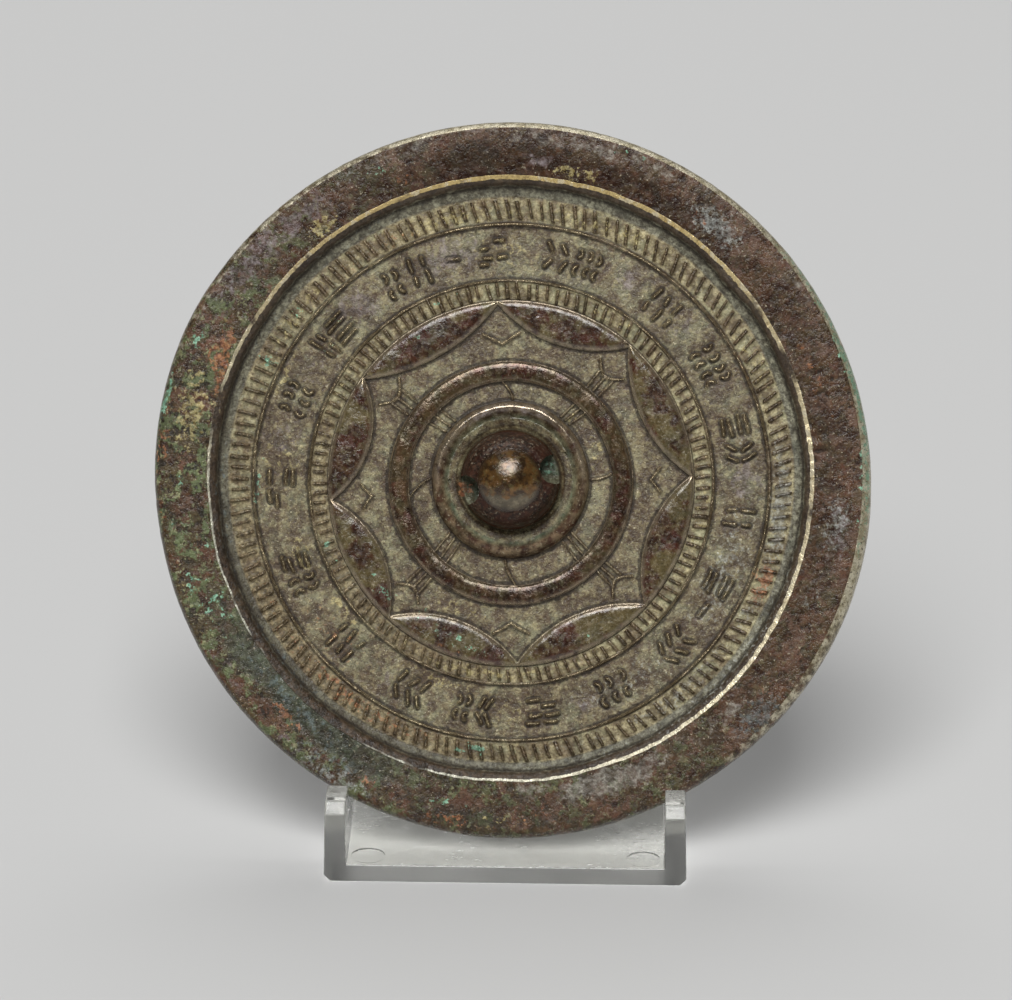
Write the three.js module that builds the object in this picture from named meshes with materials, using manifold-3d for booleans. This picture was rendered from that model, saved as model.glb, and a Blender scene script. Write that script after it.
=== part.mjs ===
// A small cast bronze mirror, decorated side to the front, leaning back in a clear moulded stand.
// Millimetres, +Z up, +X to the right, +Y away from the front. The origin is on the surface that the
// stand rests on, under the middle of the whole object's box.
import * as THREE from 'three';
import { mergeVertices } from 'three/addons/utils/BufferGeometryUtils.js';
import Module from 'manifold-3d';

const wasm = await Module();
wasm.setup();

// ---------------------------------------------------------------- mirror
const MIRROR_R = 39.0;        // edge of the reflecting face
const RIM_FACE_R = 38.1;      // outer edge of the rim's plain face
const RIM_INNER_R = 32.7;     // inner edge of the rim's face
const RIM_CHAMFER_R = 32.15;   // foot of the worn chamfer inside it
const RIM_SLOPE_R = 31.65;     // foot of the steep inner slope
const RIM_FOOT_R = 30.6;      // where the hollow foot of the rim meets the field
const RIM_TOP = 3.4;          // height of the rim's face above the reflecting side
const FIELD = 1.7;            // height of the sunken field
const BULGE = 0.3;            // the reflecting face is very slightly convex
const EDGE_ROUND = 0.15;      // its edge is a little rounded
const COMB_OUTER_LINE = 28.07; // thin raised line inside the outer comb band
const COMB_INNER_LINE = 21.97; // thin raised line outside the inner comb band
const LINE_HALF = 0.26;
const LINE_RISE = 0.3;
const ARC_OUTER_R = 19.9;     // outer edge of the eight linked arcs
const ARC_CUSP_R = 19.5;      // where neighbouring arcs meet
const ARC_MID_R = 15.85;      // each arc's point nearest to the centre
const ARC_RISE = 0.45;
// directions of the eight cusps, in degrees clockwise from the top, as unevenly spaced as they were cast
const CUSPS = [40.3, 87.0, 131.4, 177.3, 221.8, 264.0, 304.8, 355.2];
const BAND_R0 = 11.2;         // plain raised ring band
const BAND_R1 = 13.3;
const BAND_RISE = 0.5;
const COLLAR_R0 = 6.8;        // rounded ring round the knob
const COLLAR_R1 = 8.6;
const COLLAR_CREST_R = 7.8;
const COLLAR_RISE = 1.05;
const PATTERN_DX = -0.05;     // the combs, the inner pattern and the knob all sit a little off the rim's centre
const PATTERN_DY = -0.42;
const INNER_DX = -0.08;
const INNER_DY = -0.52;
const KNOB_DX = -0.12;
const KNOB_DY = -0.14;
const KNOB_R = 5.4;           // the knob is a half ball
const TUNNEL_WIDTH = 3.0;     // the hole through the knob, flat below and round above
const TUNNEL_HEIGHT = 3.3;
const TUNNEL_TURN = 14;       // its axis is turned this far from level, in degrees
const TUNNEL_HALF_LENGTH = 6.5;
const LEAN = 22;              // the mirror leans back this far from upright, in degrees
const ROUND_STEPS = 80;

// ---------------------------------------------------------------- stand
const STAND_WIDTH = 39.2;
const STAND_DEPTH = 36.0;
const PLATE = 2.0;            // thickness of the base plate
const WALL = 2.4;             // thickness of each side wall
const DRAFT = 1.4;            // the walls' outer faces lean inwards by this many degrees
const POST_FRONT_HEIGHT = 7.9; // straight part of the post's front
const POST_CHAMFER = 1.2;
const POST_DEPTH = 5.3;
const NOTCH_FLOOR = 4.6;
const CORNER = 0.7;           // small chamfer along the lower side edges
const ARM_REACH = 36.0;       // length of each back arm's leaning edge
const ARM_TOP = 2.8;          // width of the arm at its top
const GAP = 0.3;              // the mirror clears the stand by this much
const REST_Y = 7.1;           // where the mirror's lowest edge stands, behind the stand's front
const STAND_DX = -0.1;        // the mirror stands this little off the stand's middle

const rad = (d) => (d * Math.PI) / 180;
const lean = rad(LEAN);

// ---------------------------------------------------------------- helpers
function weld(geometry) {
  const g = geometry.clone();
  for (const name of Object.keys(g.attributes)) if (name !== 'position') g.deleteAttribute(name);
  const m = mergeVertices(g, 1e-5);
  const src = m.index.array;
  const p = m.attributes.position;
  const out = [];
  const a = new THREE.Vector3(), b = new THREE.Vector3(), c = new THREE.Vector3();
  let volume = 0;
  for (let i = 0; i < src.length; i += 3) {
    const [i0, i1, i2] = [src[i], src[i + 1], src[i + 2]];
    if (i0 === i1 || i1 === i2 || i0 === i2) continue;
    a.fromBufferAttribute(p, i0); b.fromBufferAttribute(p, i1); c.fromBufferAttribute(p, i2);
    volume += a.dot(b.clone().cross(c)) / 6;
    out.push(i0, i1, i2);
  }
  if (volume < 0) for (let i = 0; i < out.length; i += 3) [out[i + 1], out[i + 2]] = [out[i + 2], out[i + 1]];
  m.setIndex(out);
  return m;
}

function solid(geometry) {
  const m = weld(geometry);
  return new wasm.Manifold(new wasm.Mesh({
    numProp: 3,
    vertProperties: new Float32Array(m.attributes.position.array),
    triVerts: new Uint32Array(m.index.array),
  }));
}

function geometryOf(manifold) {
  const mesh = manifold.getMesh();
  const g = new THREE.BufferGeometry();
  g.setAttribute('position', new THREE.BufferAttribute(new Float32Array(mesh.vertProperties), 3));
  g.setIndex(new THREE.BufferAttribute(new Uint32Array(mesh.triVerts), 1));
  const flat = g.toNonIndexed();
  flat.computeVertexNormals();
  return flat;
}

// a profile of [radius, height] pairs turned round the Z axis
function turned(profile, steps) {
  const g = new THREE.LatheGeometry(profile.map(([r, z]) => new THREE.Vector2(r, z)), steps);
  g.rotateX(Math.PI / 2);
  return g;
}

// a closed outline in XY carried from z0 to z1
function raised(points, z0, z1) {
  const g = new THREE.ExtrudeGeometry(new THREE.Shape(points.map(([x, y]) => new THREE.Vector2(x, y))), {
    depth: z1 - z0, bevelEnabled: false, steps: 1,
  });
  g.translate(0, 0, z0);
  return g;
}

// a point on the mirror's back, from a radius and a direction clockwise from the top
const onBack = (r, clockwise) => [r * Math.sin(rad(clockwise)), r * Math.cos(rad(clockwise))];

// ---------------------------------------------------------------- the mirror's turned body
const rimAndPlate = [
  [0, -BULGE], [13, -BULGE * (1 - (13 / MIRROR_R) ** 2)], [26, -BULGE * (1 - (26 / MIRROR_R) ** 2)],
  [MIRROR_R - EDGE_ROUND, 0], [MIRROR_R, 0.25], [MIRROR_R - 0.2, RIM_TOP - 0.55], [RIM_FACE_R, RIM_TOP - 0.05],
  [(RIM_FACE_R + RIM_INNER_R) / 2, RIM_TOP], [RIM_INNER_R, RIM_TOP - 0.03], [RIM_CHAMFER_R, RIM_TOP - 0.35],
  [RIM_SLOPE_R, FIELD + 0.55], [(RIM_SLOPE_R + RIM_FOOT_R) / 2, FIELD + 0.2], [RIM_FOOT_R, FIELD],
  [0, FIELD],
];

// thin raised lines and the plain ring band, each a low ring with its foot sunk in the plate
const SUNK = FIELD - 0.4;
const lowRing = (r0, r1, rise, slope) => [
  [r0 - slope, SUNK], [r1 + slope, SUNK], [r1 + slope, FIELD], [r1, FIELD + rise], [r0, FIELD + rise], [r0 - slope, FIELD], [r0 - slope, SUNK],
];
const lineRing = (r) => [
  [r - LINE_HALF, SUNK], [r + LINE_HALF, SUNK], [r + LINE_HALF, FIELD], [r, FIELD + LINE_RISE], [r - LINE_HALF, FIELD], [r - LINE_HALF, SUNK],
];
const collar = [
  [COLLAR_R0, SUNK], [COLLAR_R1, SUNK], [COLLAR_R1, FIELD],
  [COLLAR_R1 - 0.25, FIELD + COLLAR_RISE * 0.68], [COLLAR_CREST_R, FIELD + COLLAR_RISE],
  [COLLAR_R0 + 0.4, FIELD + COLLAR_RISE * 0.72], [COLLAR_R0, FIELD + 0.05], [COLLAR_R0, SUNK],
];

// one of the eight linked arcs: the lens between the outer circle and a round arc that bulges inwards
function arcOutline(from, to) {
  const half = rad(((to - from + 360) % 360) / 2);
  const middle = from + ((to - from + 360) % 360) / 2;
  const cx = ARC_CUSP_R * Math.sin(half), cy = ARC_CUSP_R * Math.cos(half);
  const c = (cx * cx + cy * cy - ARC_MID_R ** 2) / (2 * (cy - ARC_MID_R));
  const rho = c - ARC_MID_R;
  const sweep = Math.asin(cx / rho);
  const inner = [], outer = [];
  const steps = 12;
  const inset = rad(0.9);
  for (let i = 0; i <= steps; i++) {
    const t = -sweep * 0.985 + (2 * sweep * 0.985 * i) / steps;
    const x = rho * Math.sin(t), y = c - rho * Math.cos(t);
    const r = Math.hypot(x, y), a = Math.atan2(x, y) * (180 / Math.PI);
    inner.push(onBack(r, middle + a));
  }
  for (let i = 0; i <= steps; i++) {
    const a = half - inset - (2 * (half - inset) * i) / steps;
    outer.push(onBack(ARC_OUTER_R, middle + (a * 180) / Math.PI));
  }
  return [...inner, ...outer];
}

let back = solid(turned(rimAndPlate, ROUND_STEPS));
const combLines = [
  turned(lineRing(COMB_OUTER_LINE), ROUND_STEPS),
  turned(lineRing(COMB_INNER_LINE), ROUND_STEPS),
];
const innerPattern = [turned(lowRing(BAND_R0 + 0.15, BAND_R1 - 0.15, BAND_RISE, 0.15), 64)];
CUSPS.forEach((cusp, i) => innerPattern.push(raised(arcOutline(cusp, CUSPS[(i + 1) % CUSPS.length]), SUNK, FIELD + ARC_RISE)));
function addAt(list, dx, dy) {
  for (const g of list) {
    g.translate(dx, dy, 0);
    back = back.add(solid(g));
  }
}
addAt(combLines, PATTERN_DX, PATTERN_DY);
addAt(innerPattern, INNER_DX, INNER_DY);
addAt([turned(collar, 56)], KNOB_DX, KNOB_DY);

// the knob: a half ball whose foot is sunk in the plate, then pierced by a flat-bottomed round-topped hole
const knobProfile = [[0, SUNK]];
for (let i = 0; i <= 10; i++) {
  const t = rad(-6 + (96 * i) / 10);
  knobProfile.push([i === 10 ? 0 : KNOB_R * Math.cos(t), FIELD + KNOB_R * Math.sin(t)]);
}
knobProfile.splice(1, 0, [KNOB_R * Math.cos(rad(-6)), SUNK]);
addAt([turned(knobProfile, 40)], KNOB_DX, KNOB_DY);

const arch = new THREE.Shape();
arch.moveTo(-TUNNEL_WIDTH / 2, 0);
arch.lineTo(TUNNEL_WIDTH / 2, 0);
arch.lineTo(TUNNEL_WIDTH / 2, TUNNEL_HEIGHT - TUNNEL_WIDTH / 2);
arch.absarc(0, TUNNEL_HEIGHT - TUNNEL_WIDTH / 2, TUNNEL_WIDTH / 2, 0, Math.PI, false);
const tunnel = new THREE.ExtrudeGeometry(arch, { depth: 2 * TUNNEL_HALF_LENGTH, bevelEnabled: false, curveSegments: 8 });
tunnel.translate(0, 0, -TUNNEL_HALF_LENGTH);
tunnel.rotateX(Math.PI / 2);      // the arch stands up, its length along Y
tunnel.rotateZ(Math.PI / 2);      // its length along X
tunnel.rotateZ(rad(TUNNEL_TURN));
tunnel.translate(KNOB_DX, KNOB_DY, FIELD + 0.08);
back = back.subtract(solid(tunnel));

const bronze = new THREE.MeshStandardMaterial({ color: 0x5d5140, roughness: 0.5, metalness: 0.7 });
const mirror = new THREE.Mesh(geometryOf(back), bronze);
mirror.name = 'mirror';

// ---------------------------------------------------------------- the stand
// side view of a wall as [depth, height]: post, notch for the rim, arm along the mirror's back
const along = (s, off) => [
  REST_Y + Math.sin(lean) * s + Math.cos(lean) * off,
  PLATE + GAP + Math.cos(lean) * s - Math.sin(lean) * off,
];
const armOff = BULGE + GAP;
const armStart = (NOTCH_FLOOR - PLATE - GAP + Math.sin(lean) * armOff) / Math.cos(lean);
const armFoot = along(armStart, armOff);
const armTop = along(ARM_REACH, armOff);
const wallOutline = [
  [0, 0], [STAND_DEPTH, 0], [STAND_DEPTH, PLATE + 0.8],
  [armTop[0] + ARM_TOP + 0.5, armTop[1] - 1.4], [armTop[0] + ARM_TOP - 0.4, armTop[1] - 0.2], [armTop[0] + 0.6, armTop[1] + 0.2],
  [armTop[0], armTop[1] - 0.5 * Math.cos(lean)],
  armFoot, [POST_DEPTH, NOTCH_FLOOR],
  [POST_DEPTH, POST_FRONT_HEIGHT + POST_CHAMFER - 0.25], [POST_DEPTH - 0.25, POST_FRONT_HEIGHT + POST_CHAMFER],
  [POST_CHAMFER, POST_FRONT_HEIGHT + POST_CHAMFER], [0, POST_FRONT_HEIGHT],
];

// the outline carried from x0 to x1
function wallGeometry(x0, x1) {
  const shape = new THREE.Shape(wallOutline.map(([y, z]) => new THREE.Vector2(y, z)));
  const g = new THREE.ExtrudeGeometry(shape, { depth: x1 - x0, bevelEnabled: false });
  const p = g.attributes.position;
  for (let i = 0; i < p.count; i++) p.setXYZ(i, x0 + p.getZ(i), p.getX(i), p.getY(i));
  return g;
}

const halfW = STAND_WIDTH / 2;
const plateOutline = [
  [-halfW + CORNER, 0], [halfW - CORNER, 0], [halfW, CORNER], [halfW - PLATE * Math.tan(rad(DRAFT)), PLATE], [-halfW + PLATE * Math.tan(rad(DRAFT)), PLATE], [-halfW, CORNER],
];
const plate = new THREE.ExtrudeGeometry(
  new THREE.Shape(plateOutline.map(([x, z]) => new THREE.Vector2(x, z))), { depth: STAND_DEPTH, bevelEnabled: false });
{
  const p = plate.attributes.position;
  for (let i = 0; i < p.count; i++) p.setXYZ(i, p.getX(i), p.getZ(i), p.getY(i));
}
// a block of the plate's own end outline, as high as the arms, trims the lower side edges of the walls
const trimOutline = [
  [-halfW + CORNER, -1], [halfW - CORNER, -1], [halfW - CORNER, 0], [halfW, CORNER], [halfW - 60 * Math.tan(rad(DRAFT)), 60], [-halfW + 60 * Math.tan(rad(DRAFT)), 60], [-halfW, CORNER], [-halfW + CORNER, 0],
];
const trim = new THREE.ExtrudeGeometry(
  new THREE.Shape(trimOutline.map(([x, z]) => new THREE.Vector2(x, z))), { depth: STAND_DEPTH + 4, bevelEnabled: false });
{
  const p = trim.attributes.position;
  for (let i = 0; i < p.count; i++) p.setXYZ(i, p.getX(i), p.getZ(i) - 2, p.getY(i));
}
const cradle = solid(wallGeometry(-halfW, -halfW + WALL))
  .add(solid(wallGeometry(halfW - WALL, halfW)))
  .intersect(solid(trim))
  .add(solid(plate));

const clear = new THREE.MeshStandardMaterial({ color: 0xdfe3de, roughness: 0.08, metalness: 0, transparent: true, opacity: 0.35 });
const stand = new THREE.Mesh(geometryOf(cradle), clear);
stand.name = 'stand';

// ---------------------------------------------------------------- assembly
// the stand's front is moved forward so that the origin is under the middle of the whole object's box
const BOX_DEPTH = REST_Y + (2 * MIRROR_R - EDGE_ROUND) * Math.sin(lean);
const model = new THREE.Group();
model.position.set(0, -BOX_DEPTH / 2, 0);
stand.position.set(STAND_DX, 0, 0);
const centre = along(MIRROR_R, 0);
mirror.position.set(0, centre[0], centre[1]);
mirror.rotation.x = Math.PI / 2 - lean;
model.add(mirror, stand);

const root = new THREE.Group();
root.add(model);
export default root;
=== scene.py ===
import math

import bmesh
import bpy
import numpy as np
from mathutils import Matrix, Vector


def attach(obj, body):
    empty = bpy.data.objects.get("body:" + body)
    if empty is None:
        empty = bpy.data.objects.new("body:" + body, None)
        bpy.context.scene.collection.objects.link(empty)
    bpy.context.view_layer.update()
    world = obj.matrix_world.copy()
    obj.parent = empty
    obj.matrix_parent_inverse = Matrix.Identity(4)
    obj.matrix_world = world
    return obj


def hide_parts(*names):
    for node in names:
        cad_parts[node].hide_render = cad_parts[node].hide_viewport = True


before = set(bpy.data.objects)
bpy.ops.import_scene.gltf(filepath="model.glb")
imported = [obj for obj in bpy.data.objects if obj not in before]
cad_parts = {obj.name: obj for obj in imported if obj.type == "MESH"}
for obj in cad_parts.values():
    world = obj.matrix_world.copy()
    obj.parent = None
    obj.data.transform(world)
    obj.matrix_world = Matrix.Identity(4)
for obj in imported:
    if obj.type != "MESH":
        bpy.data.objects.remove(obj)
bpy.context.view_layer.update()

MM = 0.001

# ---------------------------------------------------------------------------------------------
# The mirror's own frame: x to the right, y up its back, z out of the decorated side, millimetres
# ---------------------------------------------------------------------------------------------
LEAN = math.radians(22.0)
SIN, COS = math.sin(LEAN), math.cos(LEAN)
BOX_DEPTH = 7.1 + (2 * 39.0 - 0.15) * SIN
CENTRE = np.array([0.0, 7.1 + 39.0 * SIN - BOX_DEPTH / 2, 2.3 + 39.0 * COS])
AXES = np.array([[1.0, 0.0, 0.0], [0.0, SIN, COS], [0.0, -COS, SIN]])

FIELD = 1.7       # height of the sunken field above the reflecting side
RIM_TOP = 3.4
BULGE = 0.3
KNOB_R = 5.4
PX = 9.19         # photo pixels to a millimetre at the decorated side, used for the measured radii


def to_row(p):
    """Points in the mirror's frame (mm) to the row frame (metres)."""
    return (CENTRE + p @ AXES) * MM


def smooth(a, b, x):
    t = np.clip((x - a) / (b - a), 0.0, 1.0)
    return t * t * (3 - 2 * t)


def lumps(x, y, size, seed):
    """Smooth noise from -1 to 1 with lumps about `size` across."""
    n = 96
    table = np.random.default_rng(seed).uniform(-1, 1, (n, n))
    u, v = x / size + 203.7, y / size + 331.1
    iu, iv = np.floor(u).astype(np.int64), np.floor(v).astype(np.int64)
    fu, fv = u - iu, v - iv
    fu, fv = fu * fu * (3 - 2 * fu), fv * fv * (3 - 2 * fv)
    a, b = table[iu % n, iv % n], table[(iu + 1) % n, iv % n]
    c, d = table[iu % n, (iv + 1) % n], table[(iu + 1) % n, (iv + 1) % n]
    return (a * (1 - fu) + b * fu) * (1 - fv) + (c * (1 - fu) + d * fu) * fv


def cloud(x, y, size, seed, octaves=3):
    out, amp, total = 0.0, 1.0, 0.0
    for i in range(octaves):
        out = out + amp * lumps(x, y, size / 2 ** i, seed + 17 * i)
        total += amp
        amp *= 0.55
    return out / total


def around(theta, knots):
    """A smooth closed curve through (degrees, value) knots."""
    t = np.array([k[0] for k in knots], float)
    v = np.array([k[1] for k in knots], float)
    fine = np.arange(0, 360, 0.5)
    w = np.interp(fine, np.concatenate([t - 360, t, t + 360]), np.concatenate([v, v, v]))
    ker = np.exp(-0.5 * (np.arange(-24, 25) / 8.0) ** 2)
    ker /= ker.sum()
    w = np.convolve(np.concatenate([w, w, w]), ker, "same")[720:1440]
    return np.interp(theta % 360, np.append(fine, 360.0), np.append(w, w[0]))


def turn(a, b):
    """Signed difference a - b of two directions in degrees."""
    return (a - b + 180.0) % 360.0 - 180.0


# offsets of the pattern's parts from the rim's centre, by radius
OFF_R = [0.0, 8.7, 11.0, 20.0, 21.7, 28.6, 32.2, 33.0, 38.0, 60.0]
OFF_X = [-0.12, -0.12, -0.08, -0.08, -0.05, -0.05, -0.13, -0.13, -0.10, -0.10]
OFF_Y = [-0.14, -0.14, -0.52, -0.52, -0.42, -0.42, -0.03, -0.03, -0.08, -0.08]


def offset(rho):
    return np.interp(rho, OFF_R, OFF_X), np.interp(rho, OFF_R, OFF_Y)


def polar_of(x, y):
    """Radius and clockwise direction from the top in the pattern's own terms."""
    rho = np.hypot(x, y)
    for _ in range(6):
        ox, oy = offset(rho)
        rho = np.hypot(x - ox, y - oy)
    ox, oy = offset(rho)
    return rho, np.degrees(np.arctan2(x - ox, y - oy)) % 360.0


# ---------------------------------------------------------------------------------------------
# Heights of the decorated side
# ---------------------------------------------------------------------------------------------
CUSPS = [40.3, 87.0, 131.4, 177.3, 221.8, 264.0, 304.8, 355.2]
ARC_OUT, ARC_CUSP, ARC_MID, ARC_RISE = 19.92, 19.5, 15.88, 0.64

# plain turned profile of the decorated side, radius and height above the field
PROFILE = [
    (5.3, 0.0), (5.9, 0.03), (6.3, 0.14), (6.7, 0.34), (7.1, 0.62), (7.45, 0.86), (7.72, 0.98), (7.95, 1.0), (8.15, 0.9), (8.34, 0.68), (8.48, 0.38), (8.58, 0.12),
    (8.66, 0.0), (8.8, 0.0), (11.06, 0.0), (11.12, 0.24), (11.24, 0.42), (11.45, 0.54), (11.8, 0.6), (12.6, 0.6), (12.96, 0.54), (13.17, 0.42), (13.3, 0.24), (13.36, 0.0),
    (21.78, 0.0), (21.86, 0.24), (21.97, 0.34), (22.08, 0.24), (22.17, 0.0),
    (27.88, 0.0), (27.97, 0.25), (28.08, 0.35), (28.19, 0.25), (28.29, 0.0),
    (30.6, 0.0), (31.0, 0.06), (31.35, 0.18), (31.6, 0.34), (31.76, 0.52), (31.88, 0.78), (32.02, 1.12), (32.16, 1.3), (32.3, 1.4), (32.4, 1.445), (32.7, 1.6),
    (32.86, 1.66), (32.94, 1.678), (33.1, 1.685), (35.4, 1.7), (37.6, 1.69), (38.4, 1.67), (60.0, 1.67),
]

# the worn marks' places in the inscription band: strokes in millimetres, u clockwise, v outwards
# from the middle of the band, grouped by direction. They stand for the marks and aren't letters.
SLOTS = [(10.6, 3.2, "slant"), (18.8, 3.3, "bow"), (40.2, 4.4, "tick"), (59.0, 4.8, "bow"), (75.0, 2.6, "dash"), (82.0, 2.4, "slant"), (98.2, 2.8, "tick"), (115.4, 3.0, "dash"),
         (123.0, 1.6, "one"), (134.0, 4.2, "slant"), (153.0, 4.2, "bow"), (171.7, 4.0, "dash"), (186.0, 1.6, "slant"), (191.6, 2.0, "bow"), (205.3, 3.9, "slant"), (225.4, 3.9, "tick"),
         (243.2, 2.4, "bow"), (249.0, 2.2, "dash"), (268.0, 4.6, "dash"), (290.6, 4.0, "bow"), (305.6, 1.8, "tick"), (311.6, 3.1, "dash"), (328.6, 2.5, "bow"), (336.0, 2.7, "tick"),
         (344.7, 1.2, "one"), (354.6, 3.3, "dash")]


def mark_rows():
    """Two rows of short separate strokes at each place: (direction, [stroke, ...])."""
    r = np.random.default_rng(77)
    out = []
    for place, wide, kind in SLOTS:
        strokes = []
        if kind == "one":
            strokes.append(("bar", -wide / 2, 0.1, wide / 2, -0.08))
        for row, v in ((0, 0.88), (1, -0.92)) if kind != "one" else ():
            j = lambda k=0.12: float(r.uniform(-k, k))
            if kind == "dash":
                n = 1 if wide < 3.2 else 2
                for low in (-0.36, 0.36):
                    w = wide / n
                    for i in range(n):
                        if n == 2 and r.random() < 0.25:
                            continue
                        c = -wide / 2 + (i + 0.5) * w + (0.18 if low > 0 else -0.12) + j()
                        half = w / 2 - 0.34 - abs(j(0.2))
                        strokes.append(("bar", c - half, v + low + j(0.08), c + half, v + low + j(0.08)))
                continue
            n = max(2, int(round(wide / 1.3)))
            for i in range(n):
                c = -wide / 2 + (i + 0.5) * wide / n + j(0.1)
                if kind == "slant":
                    tilt = 0.3 if row == 0 else -0.26
                    strokes.append(("bar", c - tilt + j(0.06), v + 0.52 + j(), c + tilt + j(0.06), v - 0.46 + j()))
                elif kind == "tick":
                    tall = 0.62 if (i + row) % 2 == 0 else 0.36
                    strokes.append(("bar", c + j(), v + tall, c + j(), v - tall))
                else:
                    size = 0.44 + abs(j(0.06))
                    turn_to = 0.0 if row == 0 else 180.0
                    strokes.append(("arc", c - (0.25 if row == 0 else -0.25), v + j(0.08), size, turn_to - 62, turn_to + 62))
        out.append((place, strokes))
    return out


MARKS = mark_rows()
MARK_R = 25.08

# short lines at the cusps, on the ring round the collar and so on: direction, radius at both ends (px)
SPOKES = [(t, 124, 142.5, t) for t in (37.6, 40.9, 44.5, 129.1, 132.1, 134.8, 219.4, 222.4, 225.8, 303.0, 306.4, 310.0)]
SPOKES += [(a, 81, 101, b) for a, b in (
    (38, 38), (42, 42.3), (46, 46), (130, 130), (134, 134), (139, 138.6), (218, 218.4), (223, 222.6), (228, 227.5), (306, 306), (311, 311), (316, 315.6),
    (361, 355), (89, 84), (183, 177), (270, 262))]
CAPS = [(40.9, 5.6, 142, 153, 1.9), (132.1, 5.4, 142.5, 153, 1.8), (222.4, 5.4, 142.5, 152, 1.9), (306.4, 6.0, 142, 153, 1.9),
        (88.0, 4.6, 140, 149.5, 1.0), (179.2, 6.8, 140, 151, 1.0), (264.2, 4.6, 140, 149.5, 1.0), (355.8, 7.0, 139.5, 151, 1.05)]


def segment(x, y, x0, y0, x1, y1):
    dx, dy = x1 - x0, y1 - y0
    t = np.clip(((x - x0) * dx + (y - y0) * dy) / (dx * dx + dy * dy), 0, 1)
    return np.hypot(x - x0 - t * dx, y - y0 - t * dy)


def arc(x, y, cx, cy, r, a0, a1):
    """Distance to an arc, angles in degrees anticlockwise from +u."""
    ang = np.degrees(np.arctan2(y - cy, x - cx))
    mid, half = (a0 + a1) / 2, (a1 - a0) / 2
    inside = np.abs(turn(ang, mid)) <= half
    ends = [np.hypot(x - cx - r * math.cos(math.radians(a)), y - cy - r * math.sin(math.radians(a))) for a in (a0, a1)]
    return np.where(inside, np.abs(np.hypot(x - cx, y - cy) - r), np.minimum(*ends))


def ridge(d, half, rise, sharp=1.0):
    """A rounded low ridge of half width `half` at distance d from its middle."""
    t = np.clip(1 - d / half, 0, 1)
    return rise * (1 - (1 - t) ** (2 * sharp))


def teeth(theta, rho, count, mid, r0, r1, lean, lean_swing, half, rise, seed):
    r = np.random.default_rng(seed)
    pitch = 360.0 / count
    place = (np.arange(count) + 0.5) * pitch + r.uniform(-0.1, 0.1, count) * pitch
    slope = lean + lean_swing * np.sin(np.radians(place * 2 + 40)) + r.uniform(-4.5, 4.5, count)
    width = half * r.uniform(0.78, 1.2, count)
    high = rise * r.uniform(0.72, 1.12, count)
    inner = r0 + r.uniform(-0.1, 0.22, count)
    outer = r1 + r.uniform(-0.2, 0.1, count)
    bow = r.uniform(-0.05, 0.05, count)
    guess = theta + np.degrees(np.tan(np.radians(lean)) * (rho - mid) / rho)
    base = np.floor(guess / pitch).astype(int)
    out = np.zeros_like(rho)
    for k in (-1, 0, 1):
        i = (base + k) % count
        s = (rho - mid)
        line = place[i] - np.degrees(np.tan(np.radians(slope[i])) * s / rho) + np.degrees((bow[i] * (1 - (s / (0.5 * (r1 - r0))) ** 2)) / rho)
        d = np.abs(np.radians(turn(theta, line)) * rho)
        end = smooth(0.0, 0.16, rho - inner[i] + 0.08) * smooth(0.0, 0.16, outer[i] - rho + 0.08)
        out = np.maximum(out, ridge(d, width[i], 1.0) * high[i] * end)
    return out


def chips(theta, rho, rows):
    """Soft dents: direction, radius (px), half width in degrees, half width in px, depth in mm."""
    out = np.zeros_like(rho)
    for t, r, dt, dr, depth in rows:
        q = (turn(theta, t) / dt) ** 2 + ((rho * PX - r) / dr) ** 2
        out += depth * np.exp(-q * 1.2)
    return out


NICKS = [
    (5.5, 300, 0.35, 4, 0.3), (12.5, 300, 0.3, 4, 0.2), (14.3, 301, 0.25, 4, 0.22), (18.3, 300, 0.3, 4, 0.24), (354.0, 301, 0.35, 4, 0.32),
    (30.5, 300, 0.25, 5, 0.2), (32.2, 300, 0.25, 5, 0.2), (34.0, 300, 0.25, 5, 0.24), (36.0, 300, 0.25, 5, 0.2), (37.8, 300, 0.3, 5, 0.2),
    (58.6, 301, 0.5, 6, 0.35), (69.2, 300, 0.3, 5, 0.2), (70.8, 300, 0.3, 5, 0.22), (72.4, 300, 0.3, 5, 0.2), (79.0, 303, 0.9, 5, 0.3), (81.5, 304, 1.1, 7, 0.34),
    (84.2, 308, 0.8, 9, 0.4), (85.9, 304, 0.7, 5, 0.3), (191.0, 301, 0.4, 4, 0.22), (195.6, 301, 0.3, 4, 0.26), (196.2, 305, 0.4, 3, 0.14), (316.5, 301, 0.35, 4, 0.3),
    (319.3, 301, 0.25, 3, 0.14), (120.5, 300, 0.4, 4, 0.2), (142.0, 301, 0.35, 4, 0.2), (164.5, 300, 0.3, 4, 0.18), (228.5, 301, 0.7, 4, 0.2), (237.0, 300, 0.5, 4, 0.18),
    (262.0, 300, 1.4, 4, 0.2), (276.0, 301, 1.2, 5, 0.26), (287.0, 300, 0.6, 4, 0.16),
    # the rim's outer edge
    (284.5, 354, 1.8, 4, 0.5), (288.0, 355, 2.2, 3, 0.35), (112.0, 353, 1.2, 4, 0.2), (58.0, 354, 0.8, 3, 0.18), (331.0, 355, 1.5, 2.5, 0.14), (199.0, 353, 0.8, 3, 0.14),
    # dents on the ring band and collar
    (66.0, 120, 3.5, 3.2, 0.16), (74.0, 119, 3.0, 4.0, 0.18), (84.0, 120.5, 4.0, 3.0, 0.16), (104.0, 120, 3.5, 3.2, 0.18), (113.0, 120.5, 4.5, 2.4, 0.14),
    (203.0, 104, 4.0, 2.0, 0.1), (20.0, 72, 8.0, 3.0, 0.1), (330.0, 70, 9.0, 3.0, 0.08), (190.0, 71, 8.0, 3.0, 0.08),
]


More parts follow.
